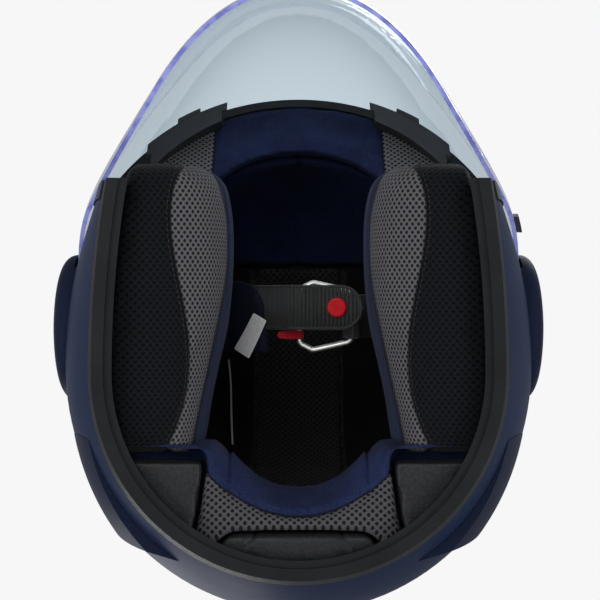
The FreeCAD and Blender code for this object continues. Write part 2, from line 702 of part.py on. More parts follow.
# Visor
def visor_section(angle, wall):
    """Cross-section of the visor's form in the plane at an angle about the pivot."""
    share = (angle - VISOR_LOW_ANGLE) / (VISOR_TOP_ANGLE - VISOR_LOW_ANGLE)

    def part_way(low, top):
        return low + (top - low) * share

    reach = part_way(size.visor_low_reach, size.visor_top_reach) - wall
    elbow = part_way(size.visor_low_elbow, size.visor_top_elbow)
    shoulder_x = part_way(size.visor_low_shoulder_x, size.visor_top_shoulder_x) - wall
    shoulder = part_way(size.visor_low_shoulder, size.visor_top_shoulder) - wall / 2
    nose = part_way(size.visor_low_nose, size.visor_top_nose) - wall / 2
    flat = size.visor_flat_x - wall
    root = size.visor_root - wall
    turn = math.radians(angle)
    outward = Vector(0, -math.cos(turn), math.sin(turn))
    pivot = Vector(0, size.pivot_y, size.widest_level)
    half = [(flat, root), (flat, elbow), (shoulder_x, shoulder), (nose, reach)]
    both = half + [(-across, away) for across, away in reversed(half)]
    poles = [pivot + X_AXIS * across + outward * away for across, away in both]
    curve = Part.BSplineCurve()
    curve.buildFromPolesMultsKnots(poles, [3, 1, 1, 1, 1, 1, 3], [0, 1, 2, 3, 4, 5, 6], False, 2)
    return Part.Wire([curve.toShape(), Part.makeLine(poles[-1], poles[0])])


def visor_form(wall, low_angle, top_angle):
    """The visor's form between two angles about the pivot, drawn in by a wall."""
    steps = 4
    angles = [low_angle + (top_angle - low_angle) * step / steps for step in range(steps + 1)]
    return Part.makeLoft([visor_section(angle, wall) for angle in angles], True, False)


def make_visor():
    glass = visor_form(0, VISOR_LOW_ANGLE, VISOR_TOP_ANGLE)
    glass = glass.cut(visor_form(size.visor_wall, VISOR_LOW_ANGLE - WALL_MARGIN_ANGLE, VISOR_TOP_ANGLE + WALL_MARGIN_ANGLE))
    bore = size.hub_radius + size.hub_clearance
    for side in (1, -1):
        start = Vector(side * (size.visor_flat_x - size.visor_wall), size.pivot_y, size.widest_level)
        ear = Part.makeCylinder(size.ear_radius, size.visor_wall, start, X_AXIS * side)
        glass = glass.fuse(ear)
    axle = Part.makeCylinder(bore, 2 * SPAN, Vector(-SPAN, size.pivot_y, size.widest_level), X_AXIS)
    return glass.cut(axle).removeSplitter()


feature("visor", make_visor())


# Opening tab on the visor's lower edge, on the wearer's left
def make_visor_tab():
    reach = size.visor_low_reach + size.overrun
    outer = visor_form(-size.tab_proud, VISOR_LOW_ANGLE, VISOR_LOW_ANGLE + TAB_ANGLE)
    inner = visor_form(-size.tab_seat_gap, VISOR_LOW_ANGLE - SEAT_MARGIN_ANGLE, VISOR_LOW_ANGLE + TAB_ANGLE + SEAT_MARGIN_ANGLE)
    near, far = size.tab_radius - size.tab_length / 2, size.tab_radius + size.tab_length / 2
    pivot = Vector(0, size.pivot_y, size.widest_level)
    ring = Part.makeCylinder(far, reach, pivot, X_AXIS).cut(Part.makeCylinder(near, reach, pivot, X_AXIS))
    return outer.cut(inner).common(ring)


feature("visor_tab", make_visor_tab())


# Brow vents
def brow_slab(low, high):
    """Space in front of the face trim between two distances from it."""
    face = -size.trim_nose - size.seat_gap
    return port_region(face - low).cut(port_region(face - high))


def sideways(low_x, high_x):
    """Everything in front of the pivot between two distances to the left."""
    return block((low_x, FAR_FRONT, size.widest_level), (high_x, 0, FAR_UP))


def make_brow_vent():
    """Duct that covers the face trim under the brow, open at its outer wall, with a lip along it."""
    wall = shell_form(size.vent_outer_inset).cut(shell_form(size.vent_inner_inset))
    duct = wall.common(brow_slab(0, size.vent_height)).common(sideways(size.vent_inner_x, size.vent_outer_x))
    edge = size.vent_mouth_wall
    mouth = shell_form(0).cut(shell_form(size.vent_outer_inset + size.vent_mouth_depth))
    mouth = mouth.common(brow_slab(edge, size.vent_height - edge))
    duct = duct.cut(mouth.common(sideways(size.vent_inner_x + edge, size.vent_outer_x - edge)))
    proud = shell_form(size.vent_outer_inset - size.vent_lip).cut(shell_form(size.vent_outer_inset + edge))
    lip = proud.common(brow_slab(size.vent_height - size.vent_lip_thickness, size.vent_height))
    ends = sideways(size.vent_inner_x - size.vent_lip_length, size.vent_outer_x + size.vent_lip_length)
    return duct.fuse(lip.common(ends))


def make_vent_shutter():
    """Small shutter that slides along the duct's lip."""
    station = (size.vent_inner_x + size.vent_outer_x) / 2
    seat = size.vent_outer_inset - size.vent_lip - size.shutter_gap
    wall = shell_form(seat - size.shutter_proud).cut(shell_form(seat))
    half = size.shutter_length / 2
    slab = brow_slab(size.vent_height - size.shutter_height, size.vent_height)
    return wall.common(slab).common(sideways(station - half, station + half))


both_sides("brow_vent", make_brow_vent())
both_sides("vent_shutter", make_vent_shutter())


# Visor base plates, pods and their screws
HUB_FACE = size.visor_flat_x + size.plate_gap
PLATE_FACE = size.visor_flat_x - size.visor_wall - size.plate_gap
POD_FOOT = size.visor_flat_x + size.pod_clearance


PLATE_THICKNESS = "(visor_flat_x - visor_wall - plate_gap - recess_x)"
RIVET_POCKET = ("strap_centre_y - pivot_y", "anchor_height - widest_level")


def make_visor_base():
    """Round plate screwed into the recess, with the hub that the visor turns on."""
    body = document.addObject("PartDesign::Body", "visor_base_left")
    disc = circle_sketch(body, "base_disc", "YZ_Plane", "plate_radius")
    pad(body, "base_plate", disc, PLATE_THICKNESS)
    hub = circle_sketch(body, "base_hub_circle", "YZ_Plane", "hub_radius")
    pad(body, "base_hub", hub, "visor_flat_x + plate_gap - recess_x")
    bore = circle_sketch(body, "base_bore_circle", "YZ_Plane", "hub_bore_radius")
    through_pocket(body, "base_bore", bore)
    seat = circle_sketch(body, "base_rivet_circle", "YZ_Plane", "rivet_head_radius + hub_clearance", *RIVET_POCKET)
    rivet_seat = body.newObject("PartDesign::Pocket", "base_rivet_seat")
    rivet_seat.Profile = seat
    rivet_seat.Reversed = True
    bind(rivet_seat, Length="rivet_head + hub_clearance")
    first = SCREW_ANGLES[0]
    spot = ("screw_circle * cos(%d deg)" % first, "screw_circle * sin(%d deg)" % first)
    shank = circle_sketch(body, "base_screw_circle", "YZ_Plane", "base_screw_radius + base_screw_play", *spot)
    screw_bore = through_pocket(body, "base_screw_bore", shank)
    document.recompute()
    bores = body.newObject("PartDesign::PolarPattern", "base_screw_bores")
    bores.Originals = [screw_bore]
    bores.Axis = (disc, ["N_Axis"])
    bores.Angle = 360
    bores.Occurrences = len(SCREW_ANGLES)
    body.Tip = bores
    face = worth(PLATE_THICKNESS)
    bore_radius = size.base_screw_radius + size.base_screw_play

    def at_screw(edge):
        flat = edge.BoundBox.XLength < size.seat_gap and abs(edge.BoundBox.XMax - face) < size.seat_gap
        return flat and isinstance(edge.Curve, Part.Circle) and abs(edge.Curve.Radius - bore_radius) < size.seat_gap / 4

    seats = round_edges(body, "base_screw_seats", bores, "Chamfer", "base_screw_head - base_screw_radius", at_screw)
    body.Tip = seats
    bind_place(body, "recess_x", "pivot_y", "widest_level")
    sub_parts(body, mirrored(body, "visor_base_right"))


def make_base_screws():
    """Six countersunk screws, three in each base plate."""
    screws = []
    head = "(base_screw_head - base_screw_radius)"
    for angle in SCREW_ANGLES:
        along = "pivot_y + screw_circle * cos(%d deg)" % angle
        up = "widest_level + screw_circle * sin(%d deg)" % angle
        shank = bind(
            document.addObject("Part::Cylinder", "screw_shank_%d" % angle),
            Radius="base_screw_radius",
            Height="shell_wall + " + PLATE_THICKNESS + " - " + head,
        )
        cone = bind(
            document.addObject("Part::Cone", "screw_head_%d" % angle),
            Radius1="base_screw_radius",
            Radius2="base_screw_head",
            Height=head,
        )
        for item, across in ((shank, "recess_x - shell_wall"), (cone, "recess_x + " + PLATE_THICKNESS + " - " + head)):
            item.Placement = Placement(Vector(), Rotation(Z_AXIS, X_AXIS))
            bind_place(item, across, along, up)
        screw = document.addObject("Part::Fuse", "screw_%d" % angle)
        screw.Base = shank
        screw.Tool = cone
        screws += [screw, mirrored(screw, "mirrored_screw_%d" % angle)]
    group = document.addObject("Part::Compound", "base_screws")
    group.Links = screws
    sub_parts(group)


def pod_oval(across, grow, share=1):
    """Oval outline of the pod at a distance from the middle plane."""
    scale = Matrix()
    scale.scale(1, (size.pod_half_length + grow) * share, (size.pod_half_height + grow) * share)
    rim = Part.Wire(Part.makeCircle(1, Vector(), X_AXIS)).transformGeometry(scale)
    rim.translate(Vector(across, size.pod_y, size.pod_height))
    return rim


def pod_cap(wall):
    """Domed cap of the pod, drawn in by a wall."""
    top = size.pod_face_x - wall
    ovals = [pod_oval(POD_FOOT + (top - POD_FOOT) * up, -wall, share) for up, share in POD_DOME_SHARES]
    return Part.makeLoft(ovals, True, False)


def make_side_pod():
    """Cover over the pivot, open at the front and top where the visor passes."""
    low = size.recess_x + size.plate_gap
    ring = Part.Face(pod_oval(low, 0)).cut(Part.Face(pod_oval(low, -size.pod_wall)))
    ring = ring.extrude(Vector(POD_FOOT - low, 0, 0))
    start = math.radians(VISOR_TOP_ANGLE + VISOR_OPENING_ANGLE + SWEEP_MARGIN_ANGLE)
    end = math.radians(VISOR_LOW_ANGLE - SWEEP_MARGIN_ANGLE)
    pivot = Vector(low, size.pivot_y, size.widest_level)
    far = size.sweep_radius
    swept = [Vector(0, -math.cos(angle), math.sin(angle)) * far for angle in (end, (start + end) / 2, start)]
    fan = polygon_face([pivot, pivot + swept[0], pivot + swept[1] * 2, pivot + swept[2]])
    skirt = ring.cut(fan.extrude(Vector(size.overrun, 0, 0)))
    boss_start = Vector(HUB_FACE + size.plate_gap, size.pivot_y, size.widest_level)
    boss = Part.makeCylinder(size.pod_boss_radius, size.pod_face_x - size.pod_wall - boss_start.x, boss_start, X_AXIS)
    pin_start = Vector(PLATE_FACE, size.pivot_y, size.widest_level)
    pin = Part.makeCylinder(size.hub_bore_radius - size.plate_gap, boss_start.x - PLATE_FACE, pin_start, X_AXIS)
    cap = pod_cap(0).cut(pod_cap(size.pod_wall))
    groove_depth = size.pod_face_x - size.pod_groove
    outline, island = [Part.Face(pod_oval(groove_depth, 0, share)) for share in POD_GROOVE_SHARES]
    cap = cap.cut(outline.cut(island).extrude(Vector(size.overrun, 0, 0)))
    return cap.fuse([skirt, boss, pin])


make_visor_base()
make_base_screws()
both_sides("side_pod", make_side_pod())


# Crown vent, rear exhaust and rear wings
OVER_SHELL = shell_form(-size.seat_gap / 2)


def crown_place(station):
    """Frame on the rear dome's centre line, its Z axis standing out of the shell."""
    away = (station - size.widest_station) / size.shell_rear_reach
    lift = math.sqrt(1 - away * away)
    fall = math.atan2(size.shell_rise * away, size.shell_rear_reach * lift)
    spot = Vector(0, station, size.widest_level + size.shell_rise * lift)
    return Placement(spot, Rotation(X_AXIS, -math.degrees(fall)))


def make_cowl(station, half_width, half_length, half_height, sink, mouth_side, pockets=()):
    """Teardrop cowl that hugs the shell, with its mouth at the front or at the rear."""
    form = ellipsoid((0, 0, -sink), half_width, half_length, half_height)
    ends = sorted((mouth_side * half_length, mouth_side * (half_length - size.scoop_depth)))
    mouth = block(
        (-size.scoop_half_width, ends[0], size.scoop_floor),
        (size.scoop_half_width, ends[1], size.scoop_floor + size.scoop_height),
    )
    form = form.cut([mouth, *pockets])
    form.Placement = crown_place(station)
    return form.cut(OVER_SHELL)


SLIDER_TOP = "(crown_vent_half_height - crown_vent_sink + slider_proud)"


def slider_pocket():
    """Slot of the crown vent for the slider and its travel."""
    gap = size.seat_gap
    half = size.slider_width / 2 + gap
    low = worth(SLIDER_TOP) - size.slider_height - gap
    front = -size.slider_length / 2 - gap
    rear = size.slider_length / 2 + size.slider_travel + gap
    return block((-half, front, low), (half, rear, low + size.overrun))


def make_crown_vent_slider():
    body = document.addObject("PartDesign::Body", "crown_vent_slider")
    corners = [
        ("-slider_width / 2", "-slider_length / 2"),
        ("slider_width / 2", "-slider_length / 2"),
        ("slider_width / 2", "slider_length / 2"),
        ("-slider_width / 2", "slider_length / 2"),
    ]
    plate = pad(body, "slider_plate", corner_sketch(body, "slider_outline", "XY_Plane", corners), "slider_height")

    def upright(edge):
        return edge.BoundBox.ZLength > size.slider_height / 2

    body.Tip = round_edges(body, "slider_corners", plate, "Fillet", "slider_corner", upright)
    seat = Placement(Vector(0, 0, worth(SLIDER_TOP) - size.slider_height), Rotation())
    body.Placement = crown_place(size.crown_vent_y) * seat
    sub_parts(body)


def shell_point(station, level, proud):
    """Point of the shell's rear side below its widest level, moved outwards."""
    share = (size.widest_level - level) / size.widest_level
    half = size.shell_half_width - size.side_tuck * share * share
    reach = size.shell_rear_reach - size.nape_tuck * share * share
    away = (station - size.widest_station) / reach
    across = half * math.sqrt(1 - away * away)
    outward = Vector(across / (half * half), (station - size.widest_station) / (reach * reach), 0).normalize()
    return Vector(across, station, level) + outward * proud


def make_rear_wing():
    """Cowl on the rear side of the shell that fades out forwards and upwards."""
    wires = []
    for up, strength in WING_PROUD_SHARES:
        level = size.wing_low_level + (size.wing_top_level - size.wing_low_level) * up
        length = size.wing_corner_y - size.wing_front_y
        crest = [
            shell_point(size.wing_front_y + length * share, level, size.wing_proud * strength * share)
            for share in WING_ALONG_SHARES
        ]
        curve = Part.BSplineCurve()
        curve.interpolate(crest)
        end = shell_point(size.wing_rear_y, level, 0)
        inner = [shell_point(station, level, -size.wing_root) for station in (size.wing_rear_y, size.wing_front_y)]
        route = [crest[-1], end, *inner, crest[0]]
        edges = [Part.makeLine(start, finish_at) for start, finish_at in zip(route, route[1:])]
        wires.append(Part.Wire([curve.toShape(), *edges]))
    return Part.makeLoft(wires, True, False).cut(OVER_SHELL)


crown_vent_form = (
    size.crown_vent_y,
    size.crown_vent_half_width,
    size.crown_vent_half_length,
    size.crown_vent_half_height,
    size.crown_vent_sink,
)
exhaust_form = (
    size.exhaust_y,
    size.exhaust_half_width,
    size.exhaust_half_length,
    size.exhaust_half_height,
    size.exhaust_sink,
)
feature("crown_vent", make_cowl(*crown_vent_form, -1, [slider_pocket()]))
make_crown_vent_slider()
feature("rear_exhaust", make_cowl(*exhaust_form, 1))
both_sides("rear_wing", make_rear_wing())


# Comfort liner
def make_brow_pad():
    """Padding under the brow edge and down to the cheek pads."""
    outer = shell_form(size.shell_wall + size.trim_lip + size.seat_gap)
    inner = cavity_form(size.crown_pad_thickness + size.seam_gap)
    cushion = outer.cut(inner).cut(port_region(size.brow_pad_setback)).common(port_region(size.brow_pad_depth))
    half = size.channel_width / 2
    channel_floor = port_region(size.brow_pad_setback + size.channel_depth)
    channels = [
        in_plan(middle - half, FAR_FRONT, middle + half, 0).common(channel_floor)
        for middle in (-size.brow_seam_x, size.brow_seam_x)
    ]
    return cushion.common(above(size.crown_pad_floor)).cut(channels)


def make_crown_ring():
    outer = cavity_form(size.seat_gap)
    inner = cavity_form(size.crown_pad_thickness)
    ring = outer.cut(inner).cut(port_region(size.brow_pad_depth + size.seat_gap))
    return ring.common(above(size.crown_pad_floor))


def in_plan(low_x, low_y, high_x, high_y):
    """Upright column over a rectangle of the plan."""
    return block((low_x, low_y, -size.overrun), (high_x, high_y, FAR_UP))


def make_crown_front_pad():
    """Front crown pad with its sewn channel along the middle."""
    cushion = RING.common(in_plan(-SPAN, FAR_FRONT, SPAN, SPLIT - GAP))
    half = size.channel_width / 2
    channel = in_plan(-half, FAR_FRONT, half, SPLIT)
    return cushion.cut(channel.common(cavity_form(size.crown_pad_thickness - size.channel_depth)))


RING = make_crown_ring()
GAP = size.seam_gap / 2
SPLIT = size.crown_split_y
STRIP = size.crown_strip_half_width
feature("brow_pad", make_brow_pad())
feature("crown_front_pad", make_crown_front_pad())
feature("crown_centre_pad", RING.common(in_plan(-STRIP + GAP, SPLIT + GAP, STRIP - GAP, FAR_BACK)))
both_sides("crown_side_pad", RING.common(in_plan(STRIP + GAP, SPLIT + GAP, SPAN, FAR_BACK)))


def cheek_section(level, swell, spread):
    """Plan of the cheek pad at a level, drawn towards its back."""
    front, rear, back = size.cheek_front_y, size.cheek_rear_y, size.cheek_back_x
    depth, length = size.cheek_depth, rear - front
    middle = (front + rear) / 2
    poles = []
    for deep_share, along_share in CHEEK_PLAN_SHARES:
        across = back - depth * deep_share * swell
        along = middle + (rear - length * along_share - middle) * spread
        poles.append(Vector(across, along, level))
    curve = Part.BSplineCurve()
    curve.buildFromPolesMultsKnots(poles, [3, 1, 1, 1, 3], [0, 1, 2, 3, 4], False, 2)
    front_corner = Vector(back + size.shell_wall, poles[-1].y, level)
    rear_corner = Vector(back + size.shell_wall, poles[0].y, level)
    return Part.Wire(
        [
            curve.toShape(),
            Part.makeLine(poles[-1], front_corner),
            Part.makeLine(front_corner, rear_corner),
            Part.makeLine(rear_corner, poles[0]),
        ]
    )


def make_cheek_pad():
    """D-shaped cushion, full in the middle and drawn in at its lower and upper edges."""
    height = size.cheek_top - size.pad_floor
    wires = [
        cheek_section(size.pad_floor + height * up, swell, spread) for up, swell, spread in CHEEK_SWELL_SHARES
    ]
    return Part.makeLoft(wires, True, False).common(PAD_FACE)


def make_cheek_base():
    """Stiff backing between the cheek pad and the shell."""
    inner = shell_form(size.shell_wall + size.seat_gap + size.base_thickness)
    plate = LINER_FACE.cut(inner).cut(port_region(size.trim_band + size.seat_gap))
    low = size.moulding_height + size.trim_lip
    return plate.common(block((0, FAR_FRONT, low), (SPAN, size.base_rear_y, size.base_top)))


both_sides("cheek_pad", make_cheek_pad())
both_sides("cheek_base", make_cheek_base())


def neck_opening():
    """Space of the wearer's neck in front of the neck roll."""
    height = size.neck_top - size.pad_floor
    wires = []
    for up, wider, deeper in NECK_SHARES:
        level = size.pad_floor + height * up
        half = size.neck_half_opening * wider
        reach = size.neck_reach * deeper
        start = Vector(-half, size.neck_front_y, level)
        front = Vector(0, size.overrun, 0)
        end = Vector(half, size.neck_front_y, level)
        wires.append(
            Part.Wire(
                [
                    half_ellipse(half, reach, size.neck_front_y, level),
                    Part.makeLine(start, start - front),
                    Part.makeLine(start - front, end - front),
                    Part.makeLine(end - front, end),
                ]
            )
        )
    return Part.makeLoft(wires, True, False)


ROLL = PAD_FACE.common(
    block((-SPAN, size.neck_front_y, size.pad_floor), (SPAN, FAR_BACK, size.neck_top))
).cut(neck_opening())


def column(outline, low, high):
    """Upright column over an outline of the plan."""
    points = [Vector(across, along, low) for across, along in outline]
    return polygon_face(points).extrude(Vector(0, 0, high - low))


def corner_space(gap):
    """Space of the left corner pad, its inner edge slanting outwards to the rear."""
    front, rear = size.corner_pad_front_y - gap, size.corner_pad_rear_y + gap
    near = size.corner_pad_x - gap
    outline = [(near, front), (SPAN, front), (SPAN, rear), (near + size.corner_pad_slant, rear)]
    return column(outline, 0, size.corner_pad_top + gap)


def nape_space(gap):
    """Space of the nape panel with its slanted side tabs."""
    front, tab = size.nape_panel_y - gap, size.nape_panel_y + size.nape_tab_length
    half, wide = size.nape_panel_half_width + gap, size.nape_tab_half_width + gap
    right = [(half, front), (wide, tab), (wide, FAR_BACK)]
    outline = right + [(-across, along) for across, along in reversed(right)]
    return column(outline, 0, size.nape_panel_top + gap)


def nape_channels():
    """Sewn channels between the nape panel and its side tabs."""
    half = size.channel_width / 2
    low, high = size.pad_floor, size.pad_floor + size.channel_depth
    return [
        block((side * size.nape_seam_x - half, size.nape_panel_y, low), (side * size.nape_seam_x + half, FAR_BACK, high))
        for name, side in SIDES
    ]


CORNER = corner_space(size.seam_gap)
feature("neck_roll", ROLL.cut([CORNER, CORNER.mirror(Vector(), X_AXIS), nape_space(size.seam_gap)]))
both_sides("corner_pad", ROLL.common(corner_space(0)))
feature("nape_panel", ROLL.common(nape_space(0)).cut(nape_channels()))


# Chin strap
def straight_edge(start, end):
    """The edge between two points, or none where one bend runs into the next."""
    if start.distanceToPoint(end) < size.seat_gap / 100:
        return []
    return [Part.makeLine(start, end)]


def ribbon(points, thickness, low_y, high_y):
    """Webbing along a route in the XZ plane, each point with the radius of its bend."""
    sides = []
    for offset in (thickness / 2, -thickness / 2):
        route = [Vector(x, low_y, z) for x, z, bend in points]
        edges = []
        last = None
        for index, corner in enumerate(route):
            if index in (0, len(route) - 1):
                way = route[1] - route[0] if index == 0 else route[-1] - route[-2]
                across = Vector(-way.z, 0, way.x).normalize() * offset
                spot = corner + across
                if last is not None:
                    edges += straight_edge(last, spot)
                last = spot
                continue
            before = (corner - route[index - 1]).normalize()
            after = (route[index + 1] - corner).normalize()
            turn = math.acos(max(-1, min(1, before.dot(after))))
            bend = points[index][2]
            left = before.x * after.z - before.z * after.x > 0
            radius = bend - offset if left else bend + offset
            side = 1 if left else -1
            trim = bend * math.tan(turn / 2)
            normal_in = Vector(-before.z, 0, before.x) * side
            normal_out = Vector(-after.z, 0, after.x) * side
            centre = corner - before * trim + normal_in * bend
            start = centre - normal_in * radius
            end = centre - normal_out * radius
            middle = centre - (normal_in + normal_out).normalize() * radius
            edges += straight_edge(last, start)
            edges.append(Part.Arc(start, middle, end).toShape())
            last = end
        sides.append((edges, edges[0].Vertexes[0].Point, last))
    (left_edges, left_start, left_end), (right_edges, right_start, right_end) = sides
    caps = [Part.makeLine(left_start, right_start), Part.makeLine(left_end, right_end)]
    outline = Part.Wire(Part.__sortEdges__(left_edges + right_edges + caps))
    return Part.Face(outline).extrude(Vector(0, high_y - low_y, 0))


ANCHOR_FACE = size.recess_x - size.shell_wall - size.seat_gap / 4
STRAP_WALL_X = ANCHOR_FACE - size.anchor_plate_thickness - size.seat_gap / 4 - size.strap_thickness / 2
ANCHOR_FOOT = size.anchor_height - size.anchor_plate_half
STRAP_LOW_Y = size.strap_centre_y - size.strap_width / 2
STRAP_HIGH_Y = size.strap_centre_y + size.strap_width / 2
SLOPE_TOP_X = size.strap_slope_top_x
LONG_ROUTE = [
    (-STRAP_WALL_X, ANCHOR_FOOT, 0),
    (-STRAP_WALL_X, size.strap_shelf, size.anchor_bend),
    (-SLOPE_TOP_X, size.strap_shelf, size.strap_bend),
    (-size.strap_slope_foot_x, size.strap_low, size.strap_bend),
    (size.strap_tip_x, size.strap_low, 0),
]


def rivet_bore(side):
    start = Vector(side * (STRAP_WALL_X - size.strap_thickness), size.strap_centre_y, size.anchor_height)
    return Part.makeCylinder(size.rivet_radius, size.overrun, start, X_AXIS * side)


def make_strap_long():
    """Webbing from the right anchor over the cheek pad to its rounded tip."""
    strap = ribbon(LONG_ROUTE, size.strap_thickness, STRAP_LOW_Y, STRAP_HIGH_Y)
    half = size.strap_width / 2
    tip = Vector(size.strap_tip_x - half, size.strap_centre_y, size.strap_low - size.overrun)
    round_end = Part.makeCylinder(half, 2 * size.overrun, tip, Z_AXIS)
    straight = block((-SPAN, STRAP_LOW_Y - half, 0), (tip.x, STRAP_HIGH_Y + half, FAR_UP))
    post = Vector(size.strap_tip_x - size.snap_setback, size.strap_centre_y, size.strap_low - size.strap_thickness)
    hole = Part.makeCylinder(size.snap_post_radius, 2 * size.strap_thickness, post, Z_AXIS)
    return strap.common(straight.fuse(round_end)).cut([hole, rivet_bore(-1)])


def make_strap_short():
    """Webbing from the left anchor to the loop that holds both D-rings."""
    low_y = size.ring_centre_y - size.strap_width / 2
    loop_low = size.ring_level - size.ring_wire / 2 - size.strap_thickness
    near = size.ring_bar_x + size.ring_wire / 2 + size.strap_thickness
    far = size.ring_bar_x - size.ring_wire / 2 - size.strap_thickness
    join = size.ring_level + size.ring_pitch + size.ring_wire * LOOP_JOIN_SHARE
    bend = size.loop_bend
    route = [
        (STRAP_WALL_X, ANCHOR_FOOT, 0),
        (STRAP_WALL_X, size.strap_shelf, size.anchor_bend),
        (SLOPE_TOP_X + size.strap_bend, size.strap_shelf, size.strap_bend),
        (near, join + size.strap_bend, bend),
        (near, loop_low, bend),
        (far, loop_low, bend),
        (far, join, bend),
        (size.ring_bar_x, join + size.strap_bend, 0),
    ]
    strap = ribbon(route, size.strap_thickness, low_y, low_y + size.strap_width)
    return strap.cut(rivet_bore(1))


feature("strap_long", make_strap_long())
feature("strap_short", make_strap_short())


def make_anchor_plates():
    """Plates between the webbing and the shell, with rounded corners."""
    body = document.addObject("PartDesign::Body", "anchor_plate_left")
    reach = "anchor_plate_half"
    corners = [("-" + reach, "-" + reach), (reach, "-" + reach), (reach, reach), ("-" + reach, reach)]
    plate = pad(
        body, "anchor_plate", corner_sketch(body, "anchor_outline", "YZ_Plane", corners), "anchor_plate_thickness"
    )

    def lengthwise(edge):
        return edge.BoundBox.XLength > size.anchor_plate_thickness / 2

    round_edges(body, "anchor_corners", plate, "Fillet", "anchor_plate_corner", lengthwise)
    through_pocket(body, "anchor_bore", circle_sketch(body, "anchor_bore_circle", "YZ_Plane", "rivet_radius"))
    bind_place(
        body,
        "recess_x - shell_wall - seat_gap / 4 - anchor_plate_thickness",
        "strap_centre_y",
        "anchor_height",
    )
    sub_parts(body, mirrored(body, "anchor_plate_right"))


def make_strap_rivets():
    """Rivets through the webbing, the plate and the shell, with a head at each end."""
    grip = "(shell_wall + anchor_plate_thickness + strap_thickness + seat_gap * 3 / 4)"
    corners = [
        ("-rivet_head", "0"),
        ("-rivet_head", "rivet_head_radius"),
        ("0", "rivet_head_radius"),
        ("0", "rivet_radius"),
        (grip, "rivet_radius"),
        (grip, "rivet_head_radius"),
        (grip + " + rivet_head", "rivet_head_radius"),
        (grip + " + rivet_head", "0"),
    ]
    body = turned_body("strap_rivet_left", "XY_Plane", corners, "H_Axis")
    bind_place(body, "recess_x - " + grip, "strap_centre_y", "anchor_height")
    sub_parts(body, mirrored(body, "strap_rivet_right"))


make_anchor_plates()
make_strap_rivets()


def make_sleeve():
    """Fabric sleeve round the sloping part of the long strap."""
    route = [
        (-SLOPE_TOP_X - size.sleeve_shelf_length, size.strap_shelf, 0),
        (-SLOPE_TOP_X, size.strap_shelf, size.strap_bend),
        (size.sleeve_slope_x - SLOPE_TOP_X, size.strap_shelf - size.sleeve_slope_x * SLOPE_FALL, 0),
    ]
    hole = size.strap_thickness + 2 * size.sleeve_clearance
    low_y, high_y = STRAP_LOW_Y - size.sleeve_front_extra, STRAP_HIGH_Y + size.sleeve_rear_extra
    outer = ribbon(route, hole + 2 * size.sleeve_wall, low_y, high_y)
    inner = ribbon(LONG_ROUTE, hole, STRAP_LOW_Y - size.sleeve_clearance, STRAP_HIGH_Y + size.sleeve_clearance)
    return outer.cut(inner)


SLOPE_FALL = (size.strap_shelf - size.strap_low) / (SLOPE_TOP_X - size.strap_slope_foot_x)
feature("strap_sleeve", make_sleeve())


def make_label():
    """Blank label lying on the underside of the sleeve."""
    label = bind(
        document.addObject("Part::Box", "sewn_label"),
        Length="label_width",
        Width="label_length",
        Height="label_thickness",
    )
    depth = size.strap_thickness / 2 + size.sleeve_clearance + size.sleeve_wall + size.seat_gap / 4
    corner = Vector(-size.label_width / 2, -size.label_length / 2, -size.label_thickness - depth)
    middle = Vector(
        size.label_slope_x - SLOPE_TOP_X, STRAP_HIGH_Y, size.strap_shelf - size.label_slope_x * SLOPE_FALL
    )
    fall = Rotation(Y_AXIS, math.degrees(math.atan(SLOPE_FALL)))
    label.Placement = Placement(middle, fall) * Placement(corner, Rotation())
    sub_parts(label)


make_label()


# D-rings and their pull tab
def ring_path(level, side):
    """Half of a D-ring's centre line, from its bar to its nose."""
    middle = size.ring_centre_y
    nose = size.ring_bar_x - size.ring_reach
    bend = size.ring_bend
    corners = [
        Vector(size.ring_bar_x, middle, level),
        Vector(size.ring_bar_x, middle + size.ring_bar_half * side, level),
        Vector(nose + size.ring_shoulder, middle + size.ring_half_width * side, level),
        Vector(nose, middle + size.ring_nose_half * side, level),
        Vector(nose, middle, level),
    ]
    edges = []
    last = corners[0]
    for before, corner, after in zip(corners, corners[1:], corners[2:]):
        into = (corner - before).normalize()
        out = (after - corner).normalize()
        turn = math.acos(into.dot(out))
        trim = bend * math.tan(turn / 2)
        start, end = corner - into * trim, corner + out * trim
        middle_way = (out - into).normalize()
        centre = corner + middle_way * (bend / math.cos(turn / 2))
        edges.append(Part.makeLine(last, start))
        edges.append(Part.Arc(start, centre - middle_way * bend, end).toShape())
        last = end
    edges.append(Part.makeLine(last, corners[-1]))
    return Part.Wire(edges)


def make_ring(level):
    halves = []
    for side in (1, -1):
        start = Vector(size.ring_bar_x, size.ring_centre_y, level)
        profile = Part.Wire(Part.makeCircle(size.ring_wire / 2, start, Y_AXIS * side))
        halves.append(ring_path(level, side).makePipeShell([profile], True, False))
    return halves[0].fuse(halves[1]).removeSplitter()


def make_pull_tab():
    """Red tape looped round the nose of the lower D-ring."""
    nose = size.ring_bar_x - size.ring_reach
    layer = size.tab_tape_thickness / 2
    lift = size.ring_wire / 2 + layer
    bend = lift * PULL_TAB_BEND_SHARE
    route = [
        (nose - size.tab_tape_length, size.ring_level - lift, 0),
        (nose + lift, size.ring_level - lift, bend),
        (nose + lift, size.ring_level + lift, bend),
        (nose - size.tab_tape_length, size.ring_level + lift, 0),
    ]
    low_y = STRAP_HIGH_Y + size.seat_gap
    return ribbon(route, layer, low_y, low_y + size.tab_tape_width)


feature("d_ring_lower", make_ring(size.ring_level))
feature("d_ring_upper", make_ring(size.ring_level + size.ring_pitch))
feature("pull_tab", make_pull_tab())


# Press stud
STUD_X = "strap_tip_x - snap_setback"


